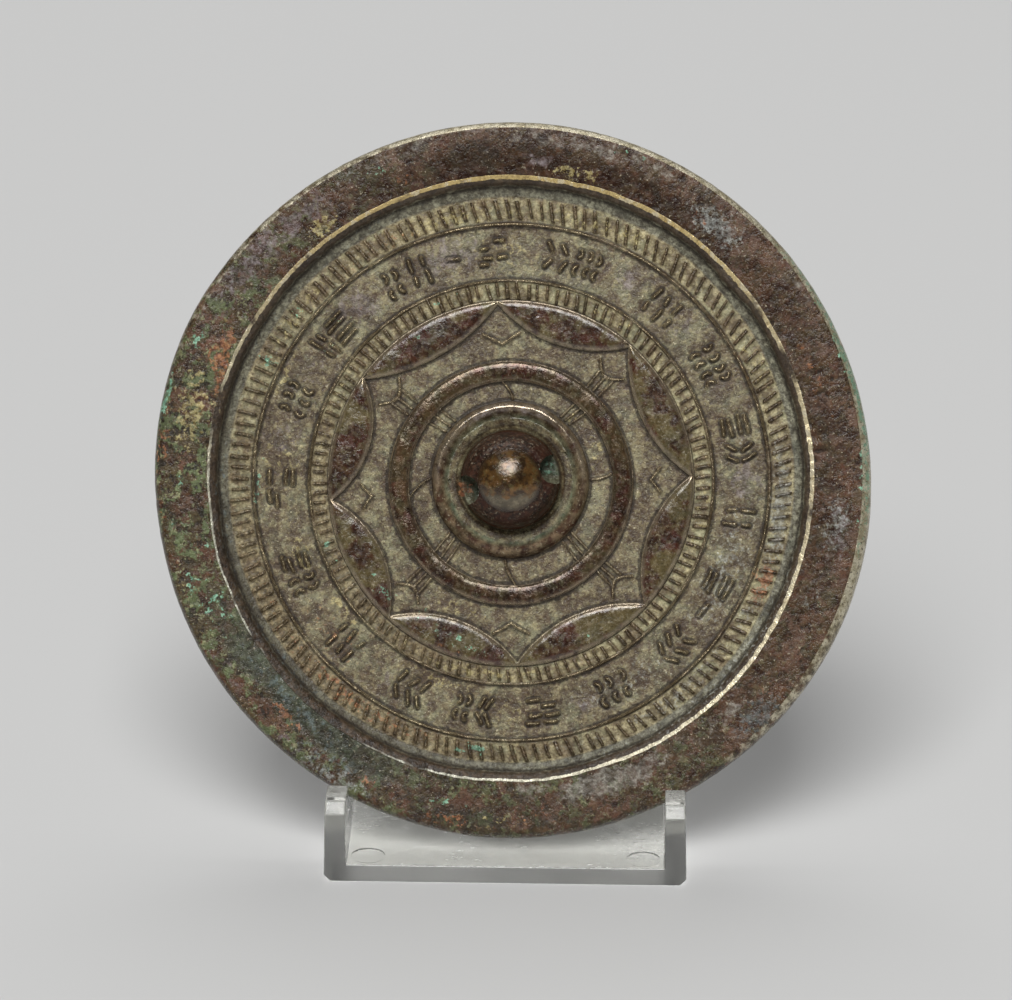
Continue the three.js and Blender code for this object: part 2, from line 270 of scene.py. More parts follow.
# how bare the rim's inner edge is round its circle, which also sets how strongly its painted highlight shows
BARE_LIT_EDGE = [(0, 0.9), (15, 1.0), (28, 1.0), (34, 0.4), (40, 0.8), (57, 0.8), (62, 0.3), (76, 0.5), (82, 1.0), (88, 0.9), (95, 0.5), (110, 0.9), (150, 1.0), (180, 0.9), (200, 0.5), (215, 0.15), (240, 0.3),
             (250, 0.7), (265, 0.7), (280, 0.3), (290, 0.6), (310, 0.9), (330, 0.9), (350, 0.9)]


def uneven(theta, rho, x, y):
    """The cast rings aren't true circles: the radius that each point has in the turned profile."""
    wob = 0.05 * lumps(np.cos(np.radians(theta)) * 14, np.sin(np.radians(theta)) * 14, 2.3, 5) + 0.03 * lumps(x, y, 0.9, 6)
    edge = wob * smooth(29.5, 31.5, rho) * (1 - smooth(33.4, 34.5, rho)) * 1.9
    edge = edge + 0.32 * np.exp(-(turn(theta, 47.5) / 4.2) ** 2) * smooth(30.2, 31.3, rho) * (1 - smooth(31.9, 32.5, rho))
    low = wob * 0.55 * (1 - smooth(28.5, 29.5, rho))
    return rho + edge + low, wob


def height(theta, rho, x, y):
    """Height above the reflecting plane (mm), and how much of it is worn pattern standing proud (0 to 1)."""
    rr, wob = uneven(theta, rho, x, y)
    pr = np.array([p[0] for p in PROFILE])
    pz = np.array([p[1] for p in PROFILE])
    z = np.interp(rr, pr, pz)
    # thin ring lines fade and thicken along their way
    for mid in (21.97, 28.08):
        near = np.abs(rr - mid) < 0.3
        fade = 0.82 + 0.3 * lumps(x, y, 1.6, 31)
        z = np.where(near, z * np.clip(fade, 0.45, 1.15), z)
    proud = np.clip(np.where((rho > 10.9) & (rho < 13.5), z / 0.5, 0) + np.where((np.abs(rr - 21.97) < 0.26) | (np.abs(rr - 28.08) < 0.26), z / 0.3, 0), 0, 1)

    # combs
    m = (rho > 28.2) & (rho < 30.9)
    t = np.zeros_like(z)
    t[m] = teeth(theta[m], rho[m], 154, 29.55, 28.55, 30.6, 10.5, 5.0, 0.25, 0.3, 11)
    m = (rho > 19.9) & (rho < 21.9)
    t[m] = teeth(theta[m], rho[m], 121, 20.92, 20.1, 21.72, 6.0, 5.0, 0.25, 0.28, 12)
    z = z + t
    proud = np.maximum(proud, np.clip(t / 0.2, 0, 1))

    # linked arcs
    m = (rho > 15.2) & (rho < 20.3)
    th, rh = theta[m], rho[m] + 0.5 * wob[m]
    lens = np.full(th.shape, -9.0)
    for i, a in enumerate(CUSPS):
        half = ((CUSPS[(i + 1) % 8] - a) % 360) / 2
        mid = a + half
        cx, cy = ARC_CUSP * math.sin(math.radians(half)), ARC_CUSP * math.cos(math.radians(half))
        c = (cx * cx + cy * cy - ARC_MID ** 2) / (2 * (cy - ARC_MID))
        d = np.radians(turn(th, mid))
        px, py = rh * np.sin(d), rh * np.cos(d)
        inner = (c - ARC_MID) - np.hypot(px, py - c)
        side = np.where(np.abs(turn(th, mid)) < half + 3, inner, -9.0)
        lens = np.maximum(lens, side)
    lens = np.minimum(lens, ARC_OUT - rh)
    t_in = 1 - np.clip((lens + 0.04) / 0.85, 0, 1)
    crown = np.sqrt(np.clip(1 - t_in ** 2, 0, 1))
    rise = np.zeros_like(z)
    rise[m] = ARC_RISE * crown * (0.97 + 0.05 * cloud(x[m], y[m], 1.1, 41))
    z = z + rise
    arcs = np.zeros_like(z)
    arcs[m] = smooth(-0.02, 0.16, lens)
    # edges that hands and cloths have rubbed: round the arcs, along the band, the collar's crest and the ring lines.
    # The material paints them pale, partly as worn metal and partly as a painted highlight that on the collar is kept
    # to its upper half
    rubbed = np.zeros_like(z)
    rubbed[m] = np.exp(-((lens - 0.2) / 0.17) ** 2) * (lens > -0.1)
    rubbed = np.maximum(rubbed, np.exp(-((rr - 13.12) / 0.13) ** 2))
    rubbed = np.maximum(rubbed, 0.7 * np.exp(-((rr - 11.28) / 0.12) ** 2))
    rubbed = np.maximum(rubbed, np.exp(-((rr - 8.08) / 0.3) ** 2))
    rubbed = np.maximum(rubbed, 0.5 * np.exp(-(np.minimum(np.abs(rr - 21.97), np.abs(rr - 28.08)) / 0.07) ** 2))

    # spokes, caps and chevrons
    extra = np.zeros_like(z)
    m = (rho > 8.4) & (rho < 11.6) | (rho > 13.2) & (rho < 17.0)
    th, rh = theta[m], rho[m]
    e = np.zeros(th.shape)
    for t0, r0, r1, t1 in SPOKES:
        k = np.clip((rh - r0 / PX) / ((r1 - r0) / PX), 0, 1)
        line = t0 + (t1 - t0) * k ** 1.4
        du = np.radians(turn(th, line)) * rh
        dv = np.maximum(np.maximum(r0 / PX - rh, rh - r1 / PX), 0)
        e = np.maximum(e, ridge(np.hypot(du, dv), 0.19, 0.2))
    for t0, wide, low_r, high_r, power in CAPS:
        q = np.clip(np.abs(turn(th, t0)) / wide, 0, 1)
        bow = (low_r + (high_r - low_r) * q ** power) / PX
        past = np.radians(np.maximum(np.abs(turn(th, t0)) - wide, 0)) * rh
        dd = np.hypot((rh - bow) * 0.85, past)
        e = np.maximum(e, ridge(dd, 0.2, 0.2))
    extra[m] = e
    # one small wart on the ring band
    wart = np.hypot(np.radians(turn(theta, 1.0)) * rho, rho - 111.5 / PX)
    z = z + extra + 0.3 * smooth(0.42, 0.05, wart)
    proud = np.maximum(proud, np.clip(extra / 0.15, 0, 1))

    # inscription marks
    m = (rho > 23.0) & (rho < 27.2)
    th, rh = theta[m], rho[m]
    best = np.full(th.shape, 9.0)
    xs, ys = x[m], y[m]
    shake_u = 0.05 * lumps(xs, ys, 0.45, 51)
    shake_v = 0.05 * lumps(xs, ys, 0.45, 52)
    for t0, strokes in MARKS:
        close = np.abs(turn(th, t0)) < 8
        u = np.radians(turn(th[close], t0)) * rh[close] + shake_u[close]
        v = rh[close] - MARK_R + shake_v[close]
        b = best[close]
        for s in strokes:
            if s[0] == "bar":
                b = np.minimum(b, segment(u, v, *s[1:]))
            else:
                b = np.minimum(b, arc(u, v, *s[1:]))
        best[close] = b
    worn = np.clip(0.85 + 0.35 * lumps(xs, ys, 1.3, 53), 0.45, 1.15)
    e = np.zeros_like(z)
    e[m] = ridge(best, 0.225, 0.4) * worn
    # the ground dips a little around each mark
    moat = np.zeros_like(z)
    moat[m] = 0.06 * np.exp(-((best - 0.38) / 0.14) ** 2)
    z = z + e - moat
    proud = np.maximum(proud, np.clip(e / 0.25, 0, 1))

    # wear, dents and corrosion
    z = z - chips(theta, rho, NICKS)
    rim = smooth(32.6, 33.2, rho)
    pit = np.clip(cloud(x, y, 0.75, 61, 2) - 0.36, 0, 1) * 0.22
    crust = np.clip(cloud(x, y, 0.9, 62, 2) - 0.3, 0, 1) * 0.16
    zone = smooth(-0.2, 0.4, cloud(x, y, 6.0, 63, 2))
    z = z - rim * pit * (0.5 + 0.7 * zone) + rim * crust * (0.35 + 0.65 * (1 - zone))
    z = z + rim * 0.022 * cloud(x, y, 3.4, 64, 2)
    sunk = (1 - rim) * (rho > 5.6)
    z = z + sunk * (0.034 * cloud(x, y, 0.85, 65, 2) + 0.03 * lumps(x, y, 1.9, 67) + 0.03 * lumps(x, y, 3.6, 66))
    return z + FIELD, proud, arcs, rubbed


# ---------------------------------------------------------------------------------------------
# The mirror's mesh
# ---------------------------------------------------------------------------------------------
def span(a, b, step):
    n = max(2, int(round((b - a) / step)) + 1)
    return list(np.linspace(a, b, n))[1:]


N_TH = 2304
FINE = 1.0
# the knob's outline, radius and height above the field: a rubbed cap over a slightly stepped, rounder skirt
KNOB_LINE = [(r, KNOB_R - (4.9 - math.sqrt(4.9 ** 2 - r * r))) for r in np.linspace(0.11, 3.36, 27)]
KNOB_LINE += [(3.44, 4.05), (3.5, 3.9)]
KNOB_LINE += [(3.5 + 1.9 * math.sin(a), 3.84 * math.cos(a)) for a in np.radians(np.linspace(8, 88, 14))]


def dome(r):
    return np.interp(r, [0.0] + [q[0] for q in KNOB_LINE] + [5.42], [KNOB_R] + [q[1] for q in KNOB_LINE] + [0.0])


radii = []
for a, b, step in ((5.4, 6.6, .16), (6.6, 8.8, .09), (8.8, 11.0, .11), (11.0, 13.4, .085), (13.4, 15.7, .11), (15.7, 20.1, .105), (20.1, 21.7, .12),
                   (21.7, 22.25, .065), (22.25, 23.1, .14), (23.1, 27.05, .09), (27.05, 27.8, .14), (27.8, 28.4, .065), (28.4, 30.7, .11), (30.7, 31.2, .1), (31.2, 34.4, .075), (34.4, 38.0, .115)):
    radii += span(a, b, step * FINE)
radii = np.array(radii)
directions = np.linspace(0, 360, N_TH, endpoint=False)

SILHOUETTE = [(0, 356.2), (30, 356), (60, 356.2), (85, 358.5), (100, 360.6), (115, 360.8), (130, 359.6), (150, 357.8), (165, 358.2), (180, 358.5), (195, 357), (210, 355),
              (240, 354.2), (260, 354.2), (275, 356.8), (285, 357.6), (295, 359), (303, 357.6), (320, 356.1), (340, 356)]
FACE_EDGE = [(0, 352.5), (30, 352), (50, 351.5), (70, 350.5), (95, 351.5), (115, 352.5), (135, 352), (155, 352), (180, 354), (210, 351.2), (240, 350.8), (262, 351),
             (275, 352), (284, 350.5), (294, 353), (310, 353), (330, 352.7)]
R_SIDE = around(directions, SILHOUETTE) / 9.165 + 0.018 * lumps(np.cos(np.radians(directions)) * 9, np.sin(np.radians(directions)) * 9, 0.7, 71)
R_FACE = around(directions, FACE_EDGE) / 9.22 + 0.03 * lumps(np.cos(np.radians(directions)) * 9, np.sin(np.radians(directions)) * 9, 0.35, 72)


def mirror_grid():
    """Rows of (x, y, z) from the knob's top outwards over the rim and under to the reflecting side."""
    rows = []
    th = directions
    st, ct = np.sin(np.radians(th)), np.cos(np.radians(th))
    for r, z in KNOB_LINE:
        ox, oy = offset(0.0)
        z += FIELD
        x, y = ox + r * st, oy + r * ct
        rough = 0.004 + 0.006 * float(smooth(3.3, 3.7, r))
        swell = 1 + 0.004 * cloud(x + z, y - z, 2.6, 81, 2) + rough * cloud(x - z, y + z, 0.8, 82, 2)
        rows.append(np.stack([ox + r * st * swell, oy + r * ct * swell, FIELD + (z - FIELD) * swell], 1))
    R = np.repeat(radii[:, None], N_TH, 1)
    T = np.repeat(th[None, :], len(radii), 0)
    ox, oy = offset(R)
    # the outermost rows close in on the rim's uneven outer edge
    stretch = smooth(35.5, 38.0, R)
    R2 = R + stretch * (R_FACE[None, :] - 38.0) * 1.0
    X, Y = ox + R2 * st[None, :], oy + R2 * ct[None, :]
    Z, proud, arcs, rubbed = height(T, R, X, Y)
    foot = np.exp(-((R - 5.4) / 0.16) ** 2) * 0.14
    Z = Z + foot
    for i in range(len(radii)):
        rows.append(np.stack([X[i], Y[i], Z[i]], 1))
    # over the outer edge: rounded shoulder, a side that spreads to the reflecting edge, a small round, and under
    ox, oy = offset(39.0)
    top = Z[-1]
    rub = 0.03 * lumps(st * 38, ct * 38, 0.8, 91)
    for f, drop in ((0.1, 0.05), (0.28, 0.17), (0.5, 0.38), (0.7, 0.66), (0.84, 1.0), (0.93, 1.4), (0.98, 1.9), (1.0, 2.5), (1.0, 3.0)):
        r = R_FACE + (R_SIDE - R_FACE) * f + rub * (f > 0.05) * (1 - f * 0.4)
        z = top - drop * (top - 0.2) / 3.2
        rows.append(np.stack([ox + r * st, oy + r * ct, z], 1))
    for less, z in ((0.0, 0.22), (0.05, 0.08), (0.16, 0.0)):
        r = R_SIDE - less
        rows.append(np.stack([ox + r * st, oy + r * ct, np.full_like(r, z)], 1))
    for r in (38.4, 37.4, 36.0, 34.0, 31.0, 28.0, 25.0, 22.0, 18.0, 14.0, 10.0, 6.0, 3.0, 1.2):
        k = np.full_like(th, r)
        x, y = ox * r / 39 + k * st, oy * r / 39 + k * ct
        z = -BULGE * (1 - (r / 39.0) ** 2) + 0.012 * lumps(x, y, 5.0, 95)
        rows.append(np.stack([x, y, z], 1))
    return np.stack(rows), (Z, proud, arcs, rubbed)


def mesh_of(name, co, faces_quads, faces_tris):
    me = bpy.data.meshes.new(name)
    nq, nt = len(faces_quads), len(faces_tris)
    me.vertices.add(len(co))
    me.vertices.foreach_set("co", co.astype(np.float32).ravel())
    me.loops.add(nq * 4 + nt * 3)
    me.loops.foreach_set("vertex_index", np.concatenate([faces_quads.ravel(), faces_tris.ravel()]).astype(np.int32))
    me.polygons.add(nq + nt)
    start = np.concatenate([np.arange(nq) * 4, nq * 4 + np.arange(nt) * 3]).astype(np.int32)
    me.polygons.foreach_set("loop_start", start)
    me.update(calc_edges=True)
    me.validate()
    return me


def build_mirror():
    grid, info = mirror_grid()
    n_rows = grid.shape[0]
    ox, oy = offset(0.0)
    top = np.array([[ox, oy, FIELD + KNOB_R]])
    bottom = np.array([[0.0, 0.0, -BULGE]])
    co = np.concatenate([grid.reshape(-1, 3), top, bottom])
    i = np.arange(n_rows - 1)[:, None] * N_TH
    j = np.arange(N_TH)[None, :]
    k = (j + 1) % N_TH
    quads = np.stack([i + j, i + N_TH + j, i + N_TH + k, i + k], -1).reshape(-1, 4)[:, ::-1]
    j = j[0]
    k = k[0]
    last = (n_rows - 1) * N_TH
    tris = np.concatenate([np.stack([np.full(N_TH, len(co) - 2), j, k], 1), np.stack([np.full(N_TH, len(co) - 1), last + k, last + j], 1)])[:, ::-1]
    me = mesh_of("mirror_relief", co, quads, tris)
    ob = bpy.data.objects.new("mirror_relief", me)
    bpy.context.scene.collection.objects.link(ob)
    return ob, info


def applied(ob):
    """The object's mesh with its modifiers worked in."""
    deps = bpy.context.evaluated_depsgraph_get()
    me = bpy.data.meshes.new_from_object(ob.evaluated_get(deps))
    ob.modifiers.clear()
    old = ob.data
    ob.data = me
    bpy.data.meshes.remove(old)
    return ob


def volume_sign(me):
    n = len(me.vertices)
    co = np.empty(n * 3)
    me.vertices.foreach_get("co", co)
    co = co.reshape(-1, 3)
    me.calc_loop_triangles()
    t = np.empty(len(me.loop_triangles) * 3, np.int32)
    me.loop_triangles.foreach_get("vertices", t)
    a, b, c = (co[t.reshape(-1, 3)[:, q]] for q in range(3))
    return float(np.einsum("ij,ij->i", a, np.cross(b, c)).sum() / 6)


def tunnel_cutter():
    """The hole through the knob: flat below, round above, a little wider and uneven at its mouths."""
    bm = bmesh.new()
    half_w, high = 1.5, 3.3
    section = []
    for q in range(7):
        section.append((-half_w + 2 * half_w * q / 6, 0.0))
    section += [(half_w, 0.45), (half_w, 0.9), (half_w, 1.35)]
    for q in range(1, 14):
        a = math.pi * q / 14
        section.append((half_w * math.cos(a), high - half_w + half_w * math.sin(a)))
    section += [(-half_w, 1.35), (-half_w, 0.9), (-half_w, 0.45)]
    turned = math.radians(14)
    ox, oy = offset(0.0)
    rings = []
    steps = 34
    for s in range(steps + 1):
        t = -6.6 + 13.2 * s / steps
        flare = 1 + 0.06 * float(smooth(2.6, 4.8, abs(t)))
        lift = 1 + 0.34 * float(smooth(2.5, 4.3, abs(t)))
        ring = []
        for (u, v) in section:
            wob = 1 + 0.025 * float(lumps(np.array(u * 2.0 + t), np.array(v * 2.0 - t * 0.7), 0.9, 101))
            uu, vv = u * flare * wob, v * (lift if v > 0.4 else 1.0) * wob
            # along the tunnel and across it
            px = t * math.cos(turned) - uu * math.sin(turned)
            py = t * math.sin(turned) + uu * math.cos(turned)
            ring.append(bm.verts.new((ox + px, oy + py, FIELD + 0.09 + vv)))
        rings.append(ring)
    n = len(section)
    for a, b in zip(rings, rings[1:]):
        for q in range(n):
            bm.faces.new((a[q], a[(q + 1) % n], b[(q + 1) % n], b[q]))
    bm.faces.new(rings[0])
    bm.faces.new(rings[-1])
    bmesh.ops.recalc_face_normals(bm, faces=bm.faces)
    bmesh.ops.triangulate(bm, faces=bm.faces)
    me = bpy.data.meshes.new("tunnel")
    bm.to_mesh(me)
    bm.free()
    ob = bpy.data.objects.new("tunnel", me)
    bpy.context.scene.collection.objects.link(ob)
    return ob


# what shows where: (direction, radius px, half width in degrees, half width in px, amount)
PATCHES = {
    "mint": [(74, 355, 24, 4, 1.0), (90, 353, 8, 5, .8), (294, 341, 1.3, 6, 1.1), (283, 354, 3.6, 3.5, .9), (250, 330, 9, 14, .45), (257, 308, 1.2, 3, 1.0), (252, 335, 2.5, 4, .8), (246, 318, 2.5, 5, .7),
             (262, 340, 2.0, 4, .5), (270, 325, 2.5, 5, .5), (214, 160, 3.5, 6, .6), (196, 166, 10, 9, .5), (228, 170, 4, 8, .6), (236, 165, 4, 5, .5), (188, 271, 4, 7, .8), (182, 272, 3, 6, .45),
             (251, 193, 1.2, 4, 1.0), (245, 192, 1.5, 4, .6), (296, 272, 2.2, 8, .55), (308, 272, 1.6, 8, .6), (268, 255, 3.5, 3, .9), (273, 250, 2, 3, .6), (305, 228, 1.6, 14, .4), (312, 232, 5, 14, .3),
             (343, 192, 1.3, 5, .6), (338, 192, 1.5, 5, .5), (190, 330, 4, 9, .35), (336, 335, 2.2, 7, .5), (330, 170, 6, 8, .3), (60, 166, 7, 9, .3), (150, 165, 8, 9, .35), (20, 192, 4, 5, .3),
             (72, 43, 8, 7, .9), (262, 54, 6, 4, .3), (110, 330, 5, 8, .25), (120, 272, 8, 7, .25), (20, 345, 5, 5, .3)],
    "haze": [(38.5, 326, 4.6, 13, 1.0), (94, 271, 12, 9, .95), (116, 271, 10, 8, .5), (140, 270, 14, 9, .55), (112, 232, 18, 20, .5), (150, 232, 18, 20, .38), (97, 328, 5, 13, .6), (109, 322, 7, 10, .35),
             (210, 345, 7, 7, .7), (163, 272, 10, 8, .35), (130, 292, 25, 6, .5), (160, 290, 18, 6, .35), (45, 270, 8, 8, .25), (305, 345, 7, 8, .3), (332, 340, 4, 8, .35), (180, 288, 10, 5, .3), (78, 235, 8, 20, .25)],
    "rust": [(35, 320, 1.5, 3.5, 1.0), (111, 271, 5, 8, .8), (223, 325, 2.6, 6, 1.0), (293.5, 314, 3.6, 9, 1.2), (290, 306, 5, 4, .8), (216, 270, 22, 8, .55), (240, 270, 14, 8, .35), (228, 232, 10, 18, .4), (204, 335, 3, 6, .5),
             (190, 345, 5, 6, .55), (175, 338, 5, 8, .4), (261, 46, 8, 7, 1.0), (265, 352, 6, 5, .5), (277, 350, 6, 4, .6), (128, 330, 4, 10, .3), (70, 320, 10, 10, .3), (340, 320, 3, 8, .35), (8, 172, 6, 6, .3),
             (200, 176, 10, 4, .45), (335, 270, 4, 8, .35), (322, 270, 4, 8, .3), (318, 233, 3, 9, .3), (62, 258, 5, 3, .4)],
    "yellow": [(12, 311, 4.5, 4, .9), (323, 312, 3.2, 7, .9), (282, 325, 7, 18, .65), (356, 232, 9, 18, .35), (275, 232, 10, 20, .35), (200, 212, 9, 5, .7), (232, 210, 8, 5, .6), (295, 250, 6, 5, .5), (307, 271, 12, 8, .5), (346, 271, 14, 8, .55),
               (18, 271, 14, 8, .45), (65, 271, 10, 8, .4), (180, 232, 10, 18, .3), (250, 222, 6, 8, .5), (190, 193, 24, 6, .5), (290, 193, 20, 6, .35), (350, 193, 20, 6, .3), (30, 193, 20, 6, .35), (100, 193, 20, 6, .35), (60, 92, 30, 10, .4),
               (200, 135, 20, 7, .35), (250, 340, 8, 8, .3), (182, 340, 6, 8, .4)],
    "lilac": [(4.5, 320, 3, 4.5, .9), (314, 336, 13, 13, .7), (326, 328, 4, 10, .3), (97, 335, 5, 10, .5), (318, 233, 4.5, 16, .8), (344, 233, 6, 16, .8), (88, 233, 5, 16, .7), (30, 232, 4, 14, .6), (48, 232, 2.6, 14, .5),
              (66, 232, 3, 14, .4), (298, 232, 5, 14, .4), (281, 232, 4, 16, .6), (212, 238, 4, 14, .35), (236, 340, 8, 8, .3), (340, 72, 25, 6, .7), (20, 72, 18, 6, .6), (125, 232, 4, 12, .3), (146, 232, 3, 12, .4), (162, 232, 4, 12, .4), (218, 345, 4, 6, .5)],
    "blue": [(133, 340, 3.8, 14, 1.1), (225, 312, 13, 7, .7), (210, 333, 8, 10, .7), (262, 290, 14, 6, .5), (232, 292, 14, 6, .5), (330, 290, 20, 5, .35), (300, 290, 14, 5, .35), (215, 320, 8, 8, .5), (15, 290, 20, 5, .2)],
    "grey": [(161, 316, 9.5, 12, 1.1), (15, 342, 18, 7, .6), (345, 345, 10, 6, .4), (35, 345, 8, 6, .4), (138, 318, 6, 8, .5), (300, 350, 12, 5, .3), (55, 345, 8, 6, .3), (176, 310, 5, 6, .5)],
    "dark": [(186, 340, 12, 10, 1.0), (178, 325, 6, 8, .5), (352, 325, 9, 14, .9), (4, 330, 8, 12, .7), (20, 325, 8, 9, .4), (335, 322, 4, 10, .4), (238, 290, 30, 5, .6), (285, 292, 16, 4, .6), (150, 345, 6, 5, .5), (172, 345, 5, 6, .6), (228, 330, 5, 8, .4),
             (60, 335, 8, 9, .3), (120, 340, 5, 8, .4)],
}


def patch(name, theta, rho, x, y):
    """How strongly a kind of patina shows at each point."""
    t = theta + 1.6 * cloud(x, y, 1.6, 201, 2) * 57.3 / np.maximum(rho, 4) * 0.42
    r = rho * PX + 5.0 * cloud(x, y, 1.4, 202, 2)
    out = np.zeros_like(rho)
    for t0, r0, dt, dr, amount in PATCHES[name]:
        q = (turn(t, t0) / dt) ** 2 + ((r - r0) / dr) ** 2
        out = np.maximum(out, amount * np.exp(-q * 0.75))
    return np.clip(out, 0, 1)


def paint(ob, info):
    """Height, hollows, patina and painted highlights as attributes that the material reads."""
    Z, proud, arcs, rubbed = info
    me = ob.data
    n = len(me.vertices)
    co = np.empty(n * 3)
    me.vertices.foreach_get("co", co)
    co = co.reshape(-1, 3)
    x, y, z = co[:, 0], co[:, 1], co[:, 2]
    rho, theta = polar_of(x, y)

    # hollows: the height against its own average over about a third of a millimetre
    def blur(a, reach):
        out = a
        for _ in range(2):
            acc = np.zeros_like(out)
            for s in range(-reach, reach + 1):
                acc += np.roll(out, s, 1)
            out = acc / (2 * reach + 1)
        for _ in range(2):
            pad = np.pad(out, ((reach, reach), (0, 0)), mode="edge")
            acc = np.zeros_like(out)
            for s in range(2 * reach + 1):
                acc += pad[s:s + len(out)]
            out = acc / (2 * reach + 1)
        return out
    hollow = blur(Z, 2) - Z

    def read(a):
        fr = np.clip(np.interp(rho, radii, np.arange(len(radii))), 0, len(radii) - 1.001)
        ft = theta / 360 * N_TH
        i, j = np.floor(fr).astype(int), np.floor(ft).astype(int) % N_TH
        u, v = fr - np.floor(fr), ft - np.floor(ft)
        jj = (j + 1) % N_TH
        return (a[i, j] * (1 - v) + a[i, jj] * v) * (1 - u) + (a[i + 1, j] * (1 - v) + a[i + 1, jj] * v) * u

    deco = (rho > 5.6) & (rho < 38.0) & (z > FIELD - 0.6)
    hol = np.where(deco, read(hollow), 0.0)
    prd = np.where(deco, read(proud), 0.0)
    arc_in = np.where(deco, read(arcs), 0.0)
    rubbed_sheen_mask = np.where(deco, read(rubbed), 0.0)
    back = smooth(0.35, 0.05, z)
    side = smooth(37.9, 38.5, rho) * (1 - back)
    rim = smooth(32.3, 32.9, rho) * (1 - back)
    slope = smooth(30.6, 31.1, rho) * (1 - smooth(32.0, 32.4, rho)) * (1 - back)
    knob = smooth(5.75, 5.45, rho)
    collar = smooth(6.6, 6.85, rho) * smooth(8.7, 8.5, rho)
    band = smooth(11.05, 11.25, rho) * smooth(13.4, 13.2, rho)
    gloss = np.clip(arc_in + band + collar + knob, 0, 1) * (1 - back)
    moat = smooth(5.35, 5.5, rho) * smooth(7.5, 6.7, rho)
    ox, oy = offset(0.0)
    from_axis = np.hypot(x - ox, y - oy)
    mouth_floor = (from_axis < 5.5) * (from_axis > 2.6) * smooth(0.45, 0.25, z - FIELD)
    moat = np.maximum(moat, mouth_floor)
    knob = knob * (1 - mouth_floor) * (1 - back)
    moat = moat * (1 - back)
    # in the tunnel: inside the knob and under its skin
    inside = smooth(0.12, 0.3, dome(from_axis) - (z - FIELD)) * (from_axis < 5.3) * (z > FIELD - 0.02) * (back < 0.5) * smooth(0.25, 0.7, z - FIELD)
    comb = (smooth(28.3, 28.5, rho) * smooth(30.9, 30.6, rho) + smooth(20.0, 20.15, rho) * smooth(21.8, 21.65, rho))

    def store(name, channels):
        a = me.color_attributes.new(name, "FLOAT_COLOR", "POINT")
        a.data.foreach_set("color", np.stack(channels, 1).astype(np.float32).ravel())

    p = {k: patch(k, theta, rho, x, y) * (1 - back) for k in PATCHES}
    store("zone", [rim, gloss, prd, np.clip(0.5 + hol / 0.2, 0, 1)])
    store("place", [slope, side, back, inside])
    store("bits", [knob, collar, comb, arc_in])
    # the profile radius (over 40 mm), how bare and brightly painted the rim's inner edge strip is (worn metal and
    # painted highlight), and where the rim is greener
    rr, _ = uneven(theta, rho, x, y)
    bare_lit = np.clip(around(theta, BARE_LIT_EDGE) * (0.85 + 0.5 * lumps(x, y, 1.2, 68)), 0, 1)
    green = around(theta, [(0, .05), (45, .1), (90, .1), (120, .2), (150, .5), (185, .7), (225, .9), (270, 1), (300, .8), (330, .25)])
    # dark smooth parts of the rim, its calm grey-green inner part low on the left, and where its bare,
    # painted-highlight edge strip is thin
    shade = around(theta, [(0, 1), (20, .95), (40, .55), (60, .35), (90, .35), (130, .3), (150, .1), (170, .25), (195, .1), (250, 0), (300, .05), (325, .4), (345, .9)]) * smooth(36.9, 34.6, rr)
    calm = around(theta, [(0, 0), (192, 0), (206, 1), (238, 1), (250, 0)]) * smooth(36.3, 35.1, rr + 0.5 * lumps(x, y, 1.6, 81))
    thin_edge = around(theta, [(0, 0), (130, 0), (170, .5), (200, 1), (255, 1), (280, .6), (310, .1)])
    store("wear", [np.where(back > 0.5, 0.0, rr / 40), band, moat, shade])
    # the third channel marks the upper half, where the collar keeps its painted highlight
    store("rim_parts", [calm, thin_edge, smooth(-0.25, 0.45, np.cos(np.radians(theta))), np.zeros_like(rho)])
    # painted highlight: how strongly the rim's outer side edge is painted pale, most at the top and on the right where
    # it faces the light
    lit_side = around(theta, [(0, .8), (30, 1), (60, .7), (100, .8), (150, .25), (200, .1), (250, .1), (300, .35), (330, .6)])
    brown = around(theta, [(0, .25), (45, .1), (90, 0), (135, .1), (175, .3), (210, 1), (245, .9), (270, .45), (320, .3)])
    store("zones", [bare_lit, green, lit_side, brown])
    gold = around(theta, [(0, 1), (40, .9), (60, .5), (110, .3), (180, .1), (230, .2), (300, .6), (330, 1)])
    store("tones", [gold, np.where(back > 0.5, 1.0, from_axis / 10), np.clip(0.5 + (y - oy) / 12, 0, 1), rubbed_sheen_mask])
    store("patina_a", [p["mint"], p["haze"], p["rust"], p["yellow"]])
    store("patina_b", [p["lilac"], p["blue"], p["grey"], p["dark"]])


mirror, grid_info = build_mirror()
if volume_sign(mirror.data) < 0:
    mirror.data.flip_normals()
full = sum(len(q.vertices) - 2 for q in mirror.data.polygons[:4]) and (len(mirror.data.loops) - 2 * len(mirror.data.polygons))
thin = mirror.modifiers.new("thin", "DECIMATE")
thin.ratio = 189000 / full
applied(mirror)
cutter = tunnel_cutter()
cut = mirror.modifiers.new("tunnel", "BOOLEAN")
cut.operation = "DIFFERENCE"
cut.object = cutter
cut.solver = "MANIFOLD"
print("before the hole", len(mirror.data.polygons), volume_sign(mirror.data), "cutter", volume_sign(cutter.data))
applied(mirror)
bpy.data.objects.remove(cutter)
paint(mirror, grid_info)

vc = np.empty(len(mirror.data.vertices) * 3)
mirror.data.vertices.foreach_get("co", vc)
mirror.data.vertices.foreach_set("co", to_row(vc.reshape(-1, 3)).astype(np.float32).ravel())
mirror.data.update()
for q in mirror.data.polygons:
    q.use_smooth = True
mirror.data.set_sharp_from_angle(angle=math.radians(62))
print("mirror triangles", sum(len(q.vertices) - 2 for q in mirror.data.polygons))


